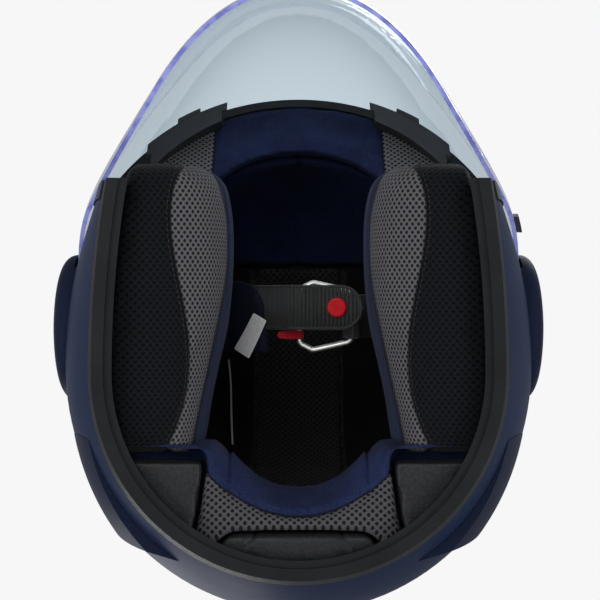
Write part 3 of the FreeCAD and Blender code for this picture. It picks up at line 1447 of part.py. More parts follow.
def make_snap_cap():
    corners = [
        ("0", "-snap_height"),
        ("snap_radius", "-snap_height"),
        ("snap_radius", "0"),
        ("snap_post_radius", "0"),
        ("snap_post_radius", "strap_thickness + snap_height / 2"),
        ("0", "strap_thickness + snap_height / 2"),
    ]
    body = turned_body("snap_cap", "XZ_Plane", corners, "V_Axis")

    def at_rim(edge):
        return edge.BoundBox.ZMax < -size.snap_height / 2 and edge.BoundBox.XLength > size.snap_radius

    body.Tip = round_edges(body, "snap_cap_edge", body.Tip, "Fillet", "snap_edge", at_rim)
    bind_place(body, STUD_X, "strap_centre_y", "strap_low - strap_thickness / 2 - seat_gap / 4")
    sub_parts(body)


def make_snap_stud():
    bore = "snap_post_radius + seat_gap / 4"
    corners = [(bore, "0"), ("stud_radius", "0"), ("stud_radius", "stud_height"), (bore, "stud_height")]
    body = turned_body("snap_stud", "XZ_Plane", corners, "V_Axis")
    bind_place(body, STUD_X, "strap_centre_y", "strap_low + strap_thickness / 2 + seat_gap / 4")
    sub_parts(body)


make_snap_cap()
make_snap_stud()


# Finish
def finish():
    """Check every object, then write each sub-part to its own file."""
    document.recompute()
    for item in document.Objects:
        if "Invalid" in item.State or "Error" in item.State:
            raise RuntimeError(item.Name + " failed")
    for piece in pieces:
        piece.Label = piece.Name
        if piece.Shape.isNull() or not piece.Shape.isValid():
            raise RuntimeError(piece.Label + " has no sound shape")
    os.makedirs("parts", exist_ok=True)
    for piece in pieces:
        piece.Shape.exportStep("parts/%s.step" % piece.Label)


finish()
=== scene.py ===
"""Looks of the open-face helmet: fabrics, clear visor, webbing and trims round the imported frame."""

import math

import bmesh
import bpy
import numpy as np
from mathutils import Matrix, Vector
from mathutils.bvhtree import BVHTree


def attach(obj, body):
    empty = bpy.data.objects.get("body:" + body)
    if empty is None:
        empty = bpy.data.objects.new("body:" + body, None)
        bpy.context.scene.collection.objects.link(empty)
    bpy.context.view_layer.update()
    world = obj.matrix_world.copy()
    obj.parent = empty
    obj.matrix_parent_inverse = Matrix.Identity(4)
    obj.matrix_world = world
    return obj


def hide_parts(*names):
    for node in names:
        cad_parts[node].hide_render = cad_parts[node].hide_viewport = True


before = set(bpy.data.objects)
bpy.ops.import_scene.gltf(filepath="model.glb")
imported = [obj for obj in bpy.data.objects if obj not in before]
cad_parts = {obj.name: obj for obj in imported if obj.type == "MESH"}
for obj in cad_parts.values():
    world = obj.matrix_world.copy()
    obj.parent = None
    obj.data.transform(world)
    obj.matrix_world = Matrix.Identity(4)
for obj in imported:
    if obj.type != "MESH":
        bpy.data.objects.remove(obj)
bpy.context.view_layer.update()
scene = bpy.context.scene
MM = 0.001

# Places shared with the solids, in millimetres
PIVOT_Y, PIVOT_Z = 14.5, 110
VISOR_LOW_ANGLE, VISOR_TOP_ANGLE = -28, 29
STRAP_Y, STRAP_HALF, STRAP_THICKNESS = 0.3, 11.5, 1.7
STRAP_SHELF, STRAP_LOW, STRAP_TIP_X = 100.8, 63, 33
RING_Y, RING_BAR_X, RING_LEVEL, RING_PITCH = 5, 27.5, 74, 4.3


# Studio
def build_studio():
    """Camera under the helmet, soft lamps, white surroundings and a floor seen from above only."""
    camera_data = bpy.data.cameras.new("camera")
    camera_data.sensor_width = 36
    camera_data.lens = 77.94
    camera_data.shift_x = 0.0025
    camera_data.clip_start = 0.01
    camera = bpy.data.objects.new("camera", camera_data)
    camera.location = (0, -3.5 * MM, -0.6)
    camera.rotation_euler = (math.pi, 0, 0)
    scene.collection.objects.link(camera)
    scene.camera = camera
    scene.view_settings.view_transform = "Standard"
    lamps = (
        ("lamp_below", (-0.15, -0.55, -1.1), 0.9, 5.5),
        ("lamp_below_left", (1.0, 0.2, -0.55), 0.8, 6.0),
        ("lamp_below_right", (-1.0, 0.2, -0.55), 0.8, 6.0),
        ("lamp_above", (0.5, -0.9, 1.3), 1.2, 14.0),
        ("lamp_behind", (-0.6, 1.1, 1.1), 1.0, 9.0),
    )
    for name, place, size, power in lamps:
        lamp_data = bpy.data.lights.new(name, "AREA")
        lamp_data.shape = "DISK"
        lamp_data.size = size
        lamp_data.energy = power
        lamp = bpy.data.objects.new(name, lamp_data)
        lamp.location = place
        aim = Vector((0, 0, 0.1)) - Vector(place)
        lamp.rotation_euler = aim.to_track_quat("-Z", "Y").to_euler()
        scene.collection.objects.link(lamp)
    world = bpy.data.worlds.new("surroundings")
    scene.world = world
    world.use_nodes = True
    nodes, links = world.node_tree.nodes, world.node_tree.links
    nodes.clear()
    path = nodes.new("ShaderNodeLightPath")
    seen = nodes.new("ShaderNodeMath")
    seen.operation = "MAXIMUM"
    links.new(path.outputs["Is Camera Ray"], seen.inputs[0])
    links.new(path.outputs["Is Transmission Ray"], seen.inputs[1])
    mirrored = nodes.new("ShaderNodeMath")
    mirrored.operation = "MULTIPLY"
    mirrored.inputs[1].default_value = 0.15
    links.new(path.outputs["Is Glossy Ray"], mirrored.inputs[0])
    both = nodes.new("ShaderNodeMath")
    both.operation = "MAXIMUM"
    links.new(seen.outputs[0], both.inputs[0])
    links.new(mirrored.outputs[0], both.inputs[1])
    strength = nodes.new("ShaderNodeMapRange")
    strength.inputs["To Min"].default_value = 0.42
    strength.inputs["To Max"].default_value = 0.93
    links.new(both.outputs[0], strength.inputs["Value"])
    background = nodes.new("ShaderNodeBackground")
    background.inputs["Color"].default_value = (1, 1, 1, 1)
    links.new(strength.outputs[0], background.inputs["Strength"])
    output = nodes.new("ShaderNodeOutputWorld")
    links.new(background.outputs[0], output.inputs[0])

    floor_mesh = bpy.data.meshes.new("floor")
    work = bmesh.new()
    bmesh.ops.create_circle(work, cap_ends=True, segments=64, radius=4)
    bmesh.ops.translate(work, verts=work.verts, vec=(0, 0, -0.0004))
    work.to_mesh(floor_mesh)
    work.free()
    floor = bpy.data.objects.new("floor", floor_mesh)
    scene.collection.objects.link(floor)
    floor.visible_diffuse = False
    floor.visible_glossy = False
    floor.visible_shadow = False
    pale = Finish("floor_pale", base=(0.86, 0.86, 0.86), rough=0.9, specular=0.1)
    geometry = pale.node("ShaderNodeNewGeometry")
    clear = pale.node("ShaderNodeBsdfTransparent")
    blend = pale.node("ShaderNodeMixShader")
    pale.join(geometry.outputs["Backfacing"], blend.inputs[0])
    pale.join(pale.shader.outputs[0], blend.inputs[1])
    pale.join(clear.outputs[0], blend.inputs[2])
    pale.join(blend.outputs[0], pale.output.inputs[0])
    floor_mesh.materials.append(pale.material)


# Materials
SOCKETS = {
    "base": "Base Color",
    "rough": "Roughness",
    "metal": "Metallic",
    "specular": "Specular IOR Level",
    "sheen": "Sheen Weight",
    "sheen_rough": "Sheen Roughness",
    "sheen_tint": "Sheen Tint",
    "coat": "Coat Weight",
    "coat_rough": "Coat Roughness",
    "clear": "Transmission Weight",
    "ior": "IOR",
    "glow": "Emission Color",
    "glow_strength": "Emission Strength",
    "subsurface": "Subsurface Weight",
}
SEAM_COLOUR, SEAM_BLUR, MESH_DEPTH = (0.004, 0.004, 0.005), 0.25 * MM, 0.55 * MM


class Finish:
    """A material made node by node."""

    def __init__(self, name, **surface):
        self.material = bpy.data.materials.new(name)
        self.material.use_nodes = True
        self.tree = self.material.node_tree
        self.tree.nodes.clear()
        self.output = self.node("ShaderNodeOutputMaterial")
        self.shader = self.node("ShaderNodeBsdfPrincipled")
        self.join(self.shader.outputs[0], self.output.inputs[0])
        for key, value in surface.items():
            self.put(self.shader.inputs[SOCKETS[key]], value)

    def node(self, kind):
        return self.tree.nodes.new(kind)

    def join(self, start, end):
        self.tree.links.new(start, end)

    def put(self, socket, value):
        """Link a socket or set its plain value."""
        if isinstance(value, bpy.types.NodeSocket):
            self.join(value, socket)
        elif isinstance(value, (tuple, list)):
            socket.default_value = (*value, 1) if len(value) == 3 and socket.type == "RGBA" else value
        else:
            socket.default_value = value

    def surface(self, key, value):
        self.put(self.shader.inputs[SOCKETS[key]], value)

    def calc(self, operation, *values):
        node = self.node("ShaderNodeMath")
        node.operation = operation
        for socket, value in zip(node.inputs, values):
            self.put(socket, value)
        return node.outputs[0]

    def place(self):
        return self.node("ShaderNodeTexCoord").outputs["Object"]

    def cloth_map(self):
        node = self.node("ShaderNodeUVMap")
        node.uv_map = "cloth"
        return node.outputs[0]

    def field(self, name):
        node = self.node("ShaderNodeAttribute")
        node.attribute_name = name
        return node.outputs["Fac"]

    def split(self, vector):
        node = self.node("ShaderNodeSeparateXYZ")
        self.join(vector, node.inputs[0])
        return node.outputs

    def stretch(self, vector, scale, turn=0):
        node = self.node("ShaderNodeMapping")
        self.join(vector, node.inputs["Vector"])
        node.inputs["Scale"].default_value = scale
        node.inputs["Rotation"].default_value = (0, 0, turn)
        return node.outputs[0]

    def noise(self, vector, scale, detail=3, rough=0.55):
        node = self.node("ShaderNodeTexNoise")
        self.join(vector, node.inputs["Vector"])
        node.inputs["Scale"].default_value = scale
        node.inputs["Detail"].default_value = detail
        node.inputs["Roughness"].default_value = rough
        return node.outputs["Fac"]

    def cells(self, vector, scale, feature="F1", output="Distance"):
        node = self.node("ShaderNodeTexVoronoi")
        node.feature = feature
        self.join(vector, node.inputs["Vector"])
        node.inputs["Scale"].default_value = scale
        return node.outputs[output]

    def ramp(self, value, low, high, to_low=0.0, to_high=1.0):
        node = self.node("ShaderNodeMapRange")
        node.interpolation_type = "SMOOTHSTEP"
        self.put(node.inputs["Value"], value)
        node.inputs["From Min"].default_value = low
        node.inputs["From Max"].default_value = high
        node.inputs["To Min"].default_value = to_low
        node.inputs["To Max"].default_value = to_high
        return node.outputs[0]

    def tint(self, factor, first, second):
        node = self.node("ShaderNodeMix")
        node.data_type = "RGBA"
        self.put(node.inputs[0], factor)
        self.put(node.inputs[6], first)
        self.put(node.inputs[7], second)
        return node.outputs[2]

    def relief(self, height, distance, strength=1.0, under=None):
        node = self.node("ShaderNodeBump")
        node.inputs["Strength"].default_value = strength
        node.inputs["Distance"].default_value = distance
        self.put(node.inputs["Height"], height)
        if under is not None:
            self.join(under, node.inputs["Normal"])
        self.join(node.outputs[0], self.shader.inputs["Normal"])
        return node.outputs[0]

    def holes(self, across, row, radius, soft=0.18 * MM):
        """Round holes in staggered rows on the cloth map, 1 inside a hole and 0 on the yarn."""
        u, v = self.split(self.cloth_map())[:2]
        along = self.calc("MULTIPLY", u, 1 / across)
        over = self.calc("MULTIPLY", v, 1 / (2 * row))
        first = self.calc("ADD", along, over)
        second = self.calc("SUBTRACT", along, over)
        local = [
            self.calc("SUBTRACT", self.calc("FRACT", self.calc("ADD", value, 1000.5)), 0.5) for value in (first, second)
        ]
        off_u = self.calc("MULTIPLY", self.calc("ADD", *local), across / 2)
        off_v = self.calc("MULTIPLY", self.calc("SUBTRACT", *local), row)
        distance = self.calc(
            "SQRT", self.calc("ADD", self.calc("MULTIPLY", off_u, off_u), self.calc("MULTIPLY", off_v, off_v))
        )
        return self.ramp(distance, radius + soft, radius - soft)

    def threads(self):
        """Fine yarns that lie slantwise on the cloth map."""
        return self.noise(self.stretch(self.cloth_map(), (5200, 1900, 1), 0.6), 1, 2)

    def mesh_height(self, hole, threads):
        return self.calc("ADD", self.calc("SUBTRACT", 1.0, hole), self.calc("MULTIPLY", threads, 0.18))

    def parted(self, name):
        """1 where a field is positive."""
        return self.ramp(self.field(name), -SEAM_BLUR, SEAM_BLUR)

    def seam(self, name):
        """Dark line where a field passes zero."""
        return self.ramp(self.calc("ABSOLUTE", self.field(name)), 0.3 * MM, 0.9 * MM, 0.75, 0.0)


def paint_finish(name, base):
    """Matt lacquer with a fine flake and a slightly uneven sheen."""
    finish = Finish(name, specular=0.012)
    place = finish.place()
    flake = finish.cells(place, 2600, output="Color")
    spark = finish.ramp(finish.split(flake)[0], 0.72, 1.0)
    cloud = finish.noise(place, 9)
    light = tuple(channel * 1.6 + 0.004 for channel in base)
    finish.surface("base", finish.tint(finish.calc("MULTIPLY", spark, 0.55), base, light))
    finish.surface("rough", finish.ramp(cloud, 0.3, 0.7, 0.4, 0.48))
    finish.relief(finish.noise(place, 1400, 2), 0.02 * MM, 0.5)
    return finish.material


def rubber_finish(name, base, rough):
    finish = Finish(name, specular=0.08)
    place = finish.place()
    grain = finish.noise(place, 900, 3)
    wear = finish.noise(place, 22)
    finish.surface("base", finish.tint(finish.ramp(wear, 0.35, 0.7), base, tuple(channel * 1.35 for channel in base)))
    finish.surface("rough", finish.ramp(grain, 0.3, 0.7, rough - 0.06, rough + 0.08))
    finish.relief(grain, 0.05 * MM, 0.6)
    return finish.material


def moulded_finish(name, base, rough=0.5):
    """Injection-moulded plastic with a spark-eroded grain."""
    finish = Finish(name, specular=0.2)
    place = finish.place()
    grain = finish.cells(place, 1500)
    finish.surface("base", finish.tint(finish.ramp(finish.noise(place, 40), 0.3, 0.7), base, tuple(c * 1.2 for c in base)))
    finish.surface("rough", finish.ramp(grain, 0.0, 0.6, rough - 0.05, rough + 0.07))
    finish.relief(grain, 0.04 * MM, 0.5)
    return finish.material


def foam_finish(name, base):
    """Black moulded foam of small beads."""
    finish = Finish(name, rough=0.85, specular=0.2)
    place = finish.place()
    beads = finish.cells(place, 260)
    finish.surface("base", finish.tint(finish.ramp(beads, 0.2, 0.7), base, tuple(c * 0.45 for c in base)))
    finish.relief(finish.calc("SUBTRACT", 1.0, beads), 0.25 * MM, 0.7)
    return finish.material


def brushed_cloth(name, base, folds=0.0, tint=(0.35, 0.45, 0.8)):
    """Brushed knit with a soft nap, lighter where it curves away, and fine wrinkles."""
    finish = Finish(name, rough=0.95, specular=0.03, sheen=0.05, sheen_rough=0.45, sheen_tint=tint)
    place = finish.place()
    nap = finish.noise(place, 1300, 3, 0.65)
    patch = finish.noise(place, 38, 3)
    tone = finish.calc("ADD", finish.calc("MULTIPLY", nap, 0.6), finish.calc("MULTIPLY", patch, 0.4))
    dark, light = tuple(c * 0.62 for c in base), tuple(c * 1.5 for c in base)
    finish.surface("base", finish.tint(finish.ramp(tone, 0.36, 0.64), dark, light))
    under = finish.relief(nap, 0.12 * MM, 0.7)
    if folds:
        wrinkle = finish.noise(finish.stretch(place, (420, 26, 26)), 1, 3, 0.6)
        finish.relief(wrinkle, folds * MM, 0.8, under)
    return finish.material


def spacer_cloth(name, yarn, hole_shade_colour, across, row, radius):
    """Three-layer mesh cloth with staggered round holes, painted dark as the shade in their recesses."""
    finish = Finish(name, rough=0.85, specular=0.08, sheen=0.05, sheen_rough=0.5)
    hole = finish.holes(across * MM, row * MM, radius * MM)
    threads = finish.threads()
    patch = finish.noise(finish.place(), 55, 2)
    dark = tuple(c * 0.7 for c in yarn)
    cloth = finish.tint(finish.ramp(threads, 0.3, 0.7), dark, yarn)
    cloth = finish.tint(finish.calc("MULTIPLY", finish.ramp(patch, 0.4, 0.75), 0.22), cloth, tuple(c * 1.25 for c in yarn))
    # The holes take a dark colour as painted shade in the recesses of the mesh
    colour = finish.tint(hole, cloth, hole_shade_colour)
    finish.surface("base", colour)
    finish.relief(finish.mesh_height(hole, threads), MESH_DEPTH, 0.85)
    return finish.material


def leather_finish(name, base):
    """Embossed imitation leather."""
    finish = Finish(name, specular=0.25)
    place = finish.place()
    cells = finish.cells(place, 620)
    fine = finish.noise(place, 2400, 2)
    soft = finish.noise(place, 48)
    finish.surface("base", finish.tint(finish.ramp(cells, 0.1, 0.65), base, tuple(c * 0.6 for c in base)))
    finish.surface("rough", finish.ramp(soft, 0.3, 0.7, 0.46, 0.6))
    height = finish.calc("ADD", finish.calc("SUBTRACT", 1.0, cells), finish.calc("MULTIPLY", fine, 0.25))
    under = finish.relief(height, 0.14 * MM, 0.7)
    finish.relief(soft, 0.8 * MM, 0.35, under)
    return finish.material


def webbing_finish(name, base):
    """Woven polyester: a twill that crosses the raised cords."""
    finish = Finish(name, rough=0.72, specular=0.3, sheen=0.2, sheen_rough=0.4)
    place = finish.place()
    twill = finish.node("ShaderNodeTexWave")
    twill.bands_direction = "DIAGONAL"
    finish.join(place, twill.inputs["Vector"])
    twill.inputs["Scale"].default_value = 420
    twill.inputs["Distortion"].default_value = 0.6
    twill.inputs["Detail"].default_value = 1
    weave = twill.outputs["Fac"]
    finish.surface("base", finish.tint(finish.ramp(weave, 0.2, 0.8), tuple(c * 0.55 for c in base), base))
    finish.relief(weave, 0.12 * MM, 0.7)
    return finish.material


def metal_finish(name, base, rough, scratches=0.03):
    finish = Finish(name, base=base, metal=1.0)
    place = finish.place()
    marks = finish.noise(finish.stretch(place, (90, 900, 900)), 1, 3)
    finish.surface("rough", finish.ramp(marks, 0.35, 0.7, rough, rough + 0.12))
    finish.relief(marks, scratches * MM, 0.3)
    return finish.material


def gloss_finish(name, base, rough=0.25):
    finish = Finish(name, specular=0.15)
    place = finish.place()
    cloud = finish.noise(place, 180, 2)
    finish.surface("base", finish.tint(finish.ramp(cloud, 0.3, 0.7), tuple(c * 0.85 for c in base), base))
    finish.surface("rough", finish.ramp(cloud, 0.3, 0.7, rough, rough + 0.1))
    finish.relief(finish.noise(place, 700, 2), 0.03 * MM, 0.4)
    return finish.material


def tape_finish(name, base):
    """Narrow woven tape or a sewn label."""
    finish = Finish(name, rough=0.8, specular=0.2, sheen=0.2, sheen_rough=0.4)
    place = finish.place()
    warp = finish.noise(finish.stretch(place, (900, 3200, 900)), 1, 2)
    finish.surface("base", finish.tint(finish.ramp(warp, 0.3, 0.7), tuple(c * 0.72 for c in base), base))
    finish.relief(warp, 0.08 * MM, 0.7)
    return finish.material


def visor_finish():
    """Clear polycarbonate whose polished edges carry a painted violet glow and glint."""
    finish = Finish("visor_clear", rough=0.015, clear=1.0, ior=1.33)
    place = finish.place()
    slant = finish.node("ShaderNodeLayerWeight")
    slant.inputs["Blend"].default_value = 0.5
    deep = finish.ramp(slant.outputs["Facing"], 0.2, 0.75)
    finish.surface("base", finish.tint(deep, (0.605, 0.715, 0.785), (0.36, 0.44, 0.51)))
    y, z = finish.split(place)[1:]
    back = finish.calc("SUBTRACT", PIVOT_Y * MM, y)
    up = finish.calc("SUBTRACT", z, PIVOT_Z * MM)
    # Distance from the planes of the lower and the upper edge, both through the pivot axis
    bands = []
    for angle, sign in ((VISOR_LOW_ANGLE, 1), (VISOR_TOP_ANGLE, -1)):
        turn = math.radians(angle)
        away = finish.calc(
            "SUBTRACT", finish.calc("MULTIPLY", up, math.cos(turn)), finish.calc("MULTIPLY", back, math.sin(turn))
        )
        bands.append(finish.ramp(finish.calc("MULTIPLY", away, sign), 0.05 * MM, 0.6 * MM, 1.0, 0.0))
    edge = finish.calc("MAXIMUM", *bands)
    # Painted glow and highlight: the edge bands get a violet colour and a weak emission in place of light caught in the
    # polished edges
    painted_edge_glow = finish.node("ShaderNodeBsdfPrincipled")
    patch = finish.noise(place, 110, 3, 0.6)
    painted_edge_glint = finish.tint(finish.ramp(patch, 0.36, 0.64), (0.13, 0.145, 0.46), (0.27, 0.3, 0.66))
    finish.join(painted_edge_glint, painted_edge_glow.inputs["Base Color"])
    painted_edge_glow.inputs["Roughness"].default_value = 0.2
    painted_edge_glow.inputs["Emission Color"].default_value = (0.3, 0.3, 0.95, 1)
    painted_edge_glow.inputs["Emission Strength"].default_value = 0.08
    blend = finish.node("ShaderNodeMixShader")
    finish.join(edge, blend.inputs[0])
    finish.join(finish.shader.outputs[0], blend.inputs[1])
    finish.join(painted_edge_glow.outputs[0], blend.inputs[2])
    finish.join(blend.outputs[0], finish.output.inputs[0])
    return finish.material


def cheek_cloth():
    """Black mesh, grey mesh and brushed navy cloth, parted by the sewn seams of the cheek pad."""
    finish = Finish("cheek_cloth", rough=0.88, specular=0.06, sheen=0.04, sheen_rough=0.5)
    hole = finish.holes(3.1 * MM, 1.95 * MM, 0.8 * MM)
    place = finish.place()
    threads = finish.threads()
    nap = finish.noise(place, 1300, 3, 0.65)
    grey = finish.tint(finish.ramp(threads, 0.3, 0.7), (0.075, 0.073, 0.082), (0.115, 0.112, 0.124))
    # The grey mesh holes are painted near black as shade in their recesses
    grey = finish.tint(hole, grey, (0.012, 0.012, 0.014))
    black = finish.tint(finish.ramp(threads, 0.3, 0.7), (0.0036, 0.0045, 0.0062), (0.008, 0.0102, 0.0135))
    # The black mesh holes are painted darker still as shade in their recesses
    black = finish.tint(hole, black, (0.0018, 0.002, 0.003))
    navy = finish.tint(finish.ramp(nap, 0.35, 0.65), (0.009, 0.012, 0.03), (0.018, 0.024, 0.058))
    grey_part, navy_part = finish.parted("grey_part"), finish.parted("navy_part")
    colour = finish.tint(navy_part, finish.tint(grey_part, black, grey), navy)
    seams = finish.calc("MAXIMUM", finish.seam("grey_part"), finish.seam("navy_part"))
    colour = finish.tint(seams, colour, SEAM_COLOUR)
    finish.surface("base", colour)
    mesh_height = finish.mesh_height(hole, threads)
    cloth_height = finish.calc("MULTIPLY", nap, 0.25)
    height = finish.node("ShaderNodeMix")
    finish.join(navy_part, height.inputs[0])
    finish.join(mesh_height, height.inputs[2])
    finish.join(cloth_height, height.inputs[3])
    finish.relief(height.outputs[0], MESH_DEPTH, 0.85)
    return finish.material


def two_part_cloth(name, part, yarn, hole_shade_colour, lattice, navy, folds=0.0):
    """Mesh cloth and brushed navy cloth, parted by one seam; the field is positive on the mesh."""
    finish = Finish(name, rough=0.9, specular=0.03, sheen=0.02, sheen_rough=0.5)
    hole = finish.holes(*[value * MM for value in lattice])
    place = finish.place()
    threads = finish.threads()
    nap = finish.noise(place, 1300, 3, 0.65)
    patch = finish.noise(place, 38, 3)
    grey = finish.tint(finish.ramp(threads, 0.3, 0.7), tuple(c * 0.68 for c in yarn), yarn)
    # The mesh holes are painted dark as shade in their recesses
    grey = finish.tint(hole, grey, hole_shade_colour)
    tone = finish.calc("ADD", finish.calc("MULTIPLY", nap, 0.6), finish.calc("MULTIPLY", patch, 0.4))
    cloth = finish.tint(finish.ramp(tone, 0.36, 0.64), tuple(c * 0.62 for c in navy), tuple(c * 1.5 for c in navy))
    mesh_part = finish.parted(part)
    colour = finish.tint(finish.seam(part), finish.tint(mesh_part, cloth, grey), SEAM_COLOUR)
    finish.surface("base", colour)
    mesh_height = finish.mesh_height(hole, threads)
    cloth_height = finish.calc("MULTIPLY", nap, 0.25)
    if folds:
        wrinkle = finish.noise(finish.stretch(place, (430, 30, 30)), 1, 3, 0.6)
        cloth_height = finish.calc("ADD", cloth_height, finish.calc("MULTIPLY", wrinkle, folds))
    height = finish.node("ShaderNodeMix")
    finish.join(mesh_part, height.inputs[0])
    finish.join(cloth_height, height.inputs[2])
    finish.join(mesh_height, height.inputs[3])
    finish.relief(height.outputs[0], MESH_DEPTH, 0.85)
    return finish.material


NAVY = (0.0125, 0.018, 0.05)
LOOKS = {}


def build_looks():
    LOOKS.update(
        shell=paint_finish("shell_navy", (0.0125, 0.0205, 0.05)),
        pod=paint_finish("pod_navy", (0.01, 0.014, 0.032)),
        foam=foam_finish("liner_foam", (0.02, 0.02, 0.022)),
        rubber=rubber_finish("edge_rubber", (0.0115, 0.0125, 0.014), 0.46),
        dark=moulded_finish("dark_plastic", (0.026, 0.028, 0.032)),
        nylon=moulded_finish("grey_nylon", (0.5, 0.51, 0.52), 0.55),
        steel=metal_finish("steel", (0.62, 0.63, 0.65), 0.28),
        chrome=metal_finish("ring_chrome", (0.72, 0.7, 0.66), 0.38),
        visor=visor_finish(),
        cheek=cheek_cloth(),
        # The second colour of the neck and brow mesh is the painted shade in the holes
        neck=two_part_cloth(
            "neck_cloth", "mesh_part", (0.083, 0.084, 0.092), (0.01, 0.01, 0.012), (3.85, 1.85, 0.82), NAVY
        ),
        brow=two_part_cloth(
            "brow_cloth", "mesh_part", (0.15, 0.147, 0.155), (0.012, 0.012, 0.014), (3.85, 1.85, 0.82), NAVY, 0.8
        ),
        # Crown front cloth: the navy is darkened as painted shade of the deep crown, where little light reaches
        deep_navy=brushed_cloth("crown_cloth_painted_shade", (0.0075, 0.0115, 0.031), 0.3),
        # Crown centre mesh: dark yarn, darkened further as painted shade of the deep crown
        strip=spacer_cloth("crown_mesh", (0.02, 0.019, 0.0185), (0.003, 0.003, 0.003), 3.85, 1.85, 0.82),
        black_cloth=brushed_cloth("black_cloth", (0.006, 0.006, 0.0065), 0.0, (1, 1, 1)),
        sleeve=brushed_cloth("sleeve_cloth", (0.009, 0.0105, 0.02), 0.3),
        leather=leather_finish("black_leatherette", (0.019, 0.02, 0.022)),
        webbing=webbing_finish("strap_webbing", (0.034, 0.036, 0.038)),
        red=gloss_finish("red_plastic", (0.56, 0.006, 0.013)),
        red_tape=tape_finish("red_tape", (0.42, 0.01, 0.02)),
        label=tape_finish("label_white", (0.98, 0.98, 0.98)),
        thread=tape_finish("dark_thread", (0.02, 0.021, 0.024)),
        pale_thread=tape_finish("pale_thread", (0.5, 0.5, 0.5)),
    )


NODE_LOOKS = {
    "shell": ["outer_shell"],
    "pod": ["side_pod_left", "side_pod_right", "crown_vent", "rear_exhaust", "rear_wing_left", "rear_wing_right"],
    "foam": ["impact_liner"],
    "rubber": ["eyeport_trim", "bottom_moulding"],
    "visor": ["visor"],
    "dark": [
        "visor_tab", "brow_vent_left", "brow_vent_right", "vent_shutter_left", "vent_shutter_right",
        "crown_vent_slider", "cheek_base_left", "cheek_base_right",
    ],
    "nylon": ["visor_base_left", "visor_base_right"],
    "steel": [
        "base_screws", "anchor_plate_left", "anchor_plate_right", "strap_rivet_left", "strap_rivet_right", "snap_stud",
    ],
    "chrome": ["d_ring_lower", "d_ring_upper"],
    "red": ["snap_cap"],
}


def dress_nodes():
    """Give the solids that stay their finishes."""
    for look, nodes in NODE_LOOKS.items():
        for node in nodes:
            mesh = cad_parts[node].data
            mesh.materials.clear()
            mesh.materials.append(LOOKS[look])


# Cushions
def new_piece(name, mesh, look):
    piece = bpy.data.objects.new(name, mesh)
    scene.collection.objects.link(piece)
    mesh.materials.clear()
    mesh.materials.append(LOOKS[look])
    return piece


def plain_mesh(piece, name):
    """Mesh of a piece with its modifiers applied, in place of what it had."""
    evaluated = piece.evaluated_get(bpy.context.evaluated_depsgraph_get())
    mesh = bpy.data.meshes.new_from_object(evaluated)
    mesh.name = name
    piece.modifiers.clear()
    old = piece.data
    piece.data = mesh
    bpy.data.meshes.remove(old)
    return mesh


def smooth_faces(mesh):
    for face in mesh.polygons:
        face.use_smooth = True


def coordinates(mesh):
    spots = np.empty(len(mesh.vertices) * 3, dtype=np.float32)
    mesh.vertices.foreach_get("co", spots)
    return spots.reshape(-1, 3)


def normals(mesh):
    ways = np.empty(len(mesh.vertices) * 3, dtype=np.float32)
    mesh.vertex_normals.foreach_get("vector", ways)
    return ways.reshape(-1, 3)


def move_to(mesh, spots):
    mesh.vertices.foreach_set("co", np.asarray(spots, dtype=np.float32).ravel())
    mesh.update()


def swell(piece, pressure, cap):
    """Blow the cover up with cloth pressure, no vertex further than the cap."""
    start = coordinates(piece.data).copy()
    air = piece.modifiers.new("air", "CLOTH")
    air.settings.use_pressure = True
    air.settings.uniform_pressure_force = pressure
    air.settings.effector_weights.gravity = 0
    air.settings.tension_stiffness = 12
    air.settings.bending_stiffness = 0.6
    air.point_cache.frame_start = 1
    air.point_cache.frame_end = 20
    for step in range(1, 21):
        scene.frame_set(step)
    evaluated = piece.evaluated_get(bpy.context.evaluated_depsgraph_get())
    moved = coordinates(evaluated.to_mesh()).copy()
    evaluated.to_mesh_clear()
    piece.modifiers.clear()
    scene.frame_set(1)
    way = moved - start
    length = np.linalg.norm(way, axis=1, keepdims=True)
    way *= np.minimum(1, cap / np.maximum(length, 1e-9))
    move_to(piece.data, start + way)


def cushion(name, node, look, voxel=3.5, draw_in=0.9, air=3.0, cap=2.2, levels=1, smooth=6):
    """Soft piece made from a cushion's solid: edges rounded, cover blown up, then smoothed."""
    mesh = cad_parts[node].data.copy()
    work = bmesh.new()
    work.from_mesh(mesh)
    bmesh.ops.remove_doubles(work, verts=work.verts, dist=1e-6)
    work.to_mesh(mesh)
    work.free()
    piece = new_piece(name, mesh, look)
    grid = piece.modifiers.new("grid", "REMESH")
    grid.mode = "VOXEL"
    grid.voxel_size = voxel * MM
    plain_mesh(piece, name)
    round_off = piece.modifiers.new("round_off", "SMOOTH")
    round_off.factor = 0.5
    round_off.iterations = smooth
    plain_mesh(piece, name)
    move_to(piece.data, coordinates(piece.data) - normals(piece.data) * draw_in * MM)
    swell(piece, air, cap * MM)
    finer = piece.modifiers.new("finer", "SUBSURF")
    finer.levels = finer.render_levels = levels
    mesh = plain_mesh(piece, name)
    mesh.materials.clear()
    mesh.materials.append(LOOKS[look])
    smooth_faces(mesh)
    return piece


def give_field(piece, name, values):
    """Scalar per vertex that the finish reads, such as the distance to a seam."""
    layer = piece.data.attributes.new(name, "FLOAT", "POINT")
    layer.data.foreach_set("value", np.asarray(values, dtype=np.float32))


def give_cloth_map(piece, across, along):
    """Map in metres for the cloth's pattern, one value pair per vertex."""
    mesh = piece.data
    corners = np.empty(len(mesh.loops), dtype=np.int32)
    mesh.loops.foreach_get("vertex_index", corners)
    pair = np.stack([across, along], axis=1).astype(np.float32)[corners]
    layer = mesh.uv_layers.new(name="cloth")
    layer.data.foreach_set("uv", pair.ravel())


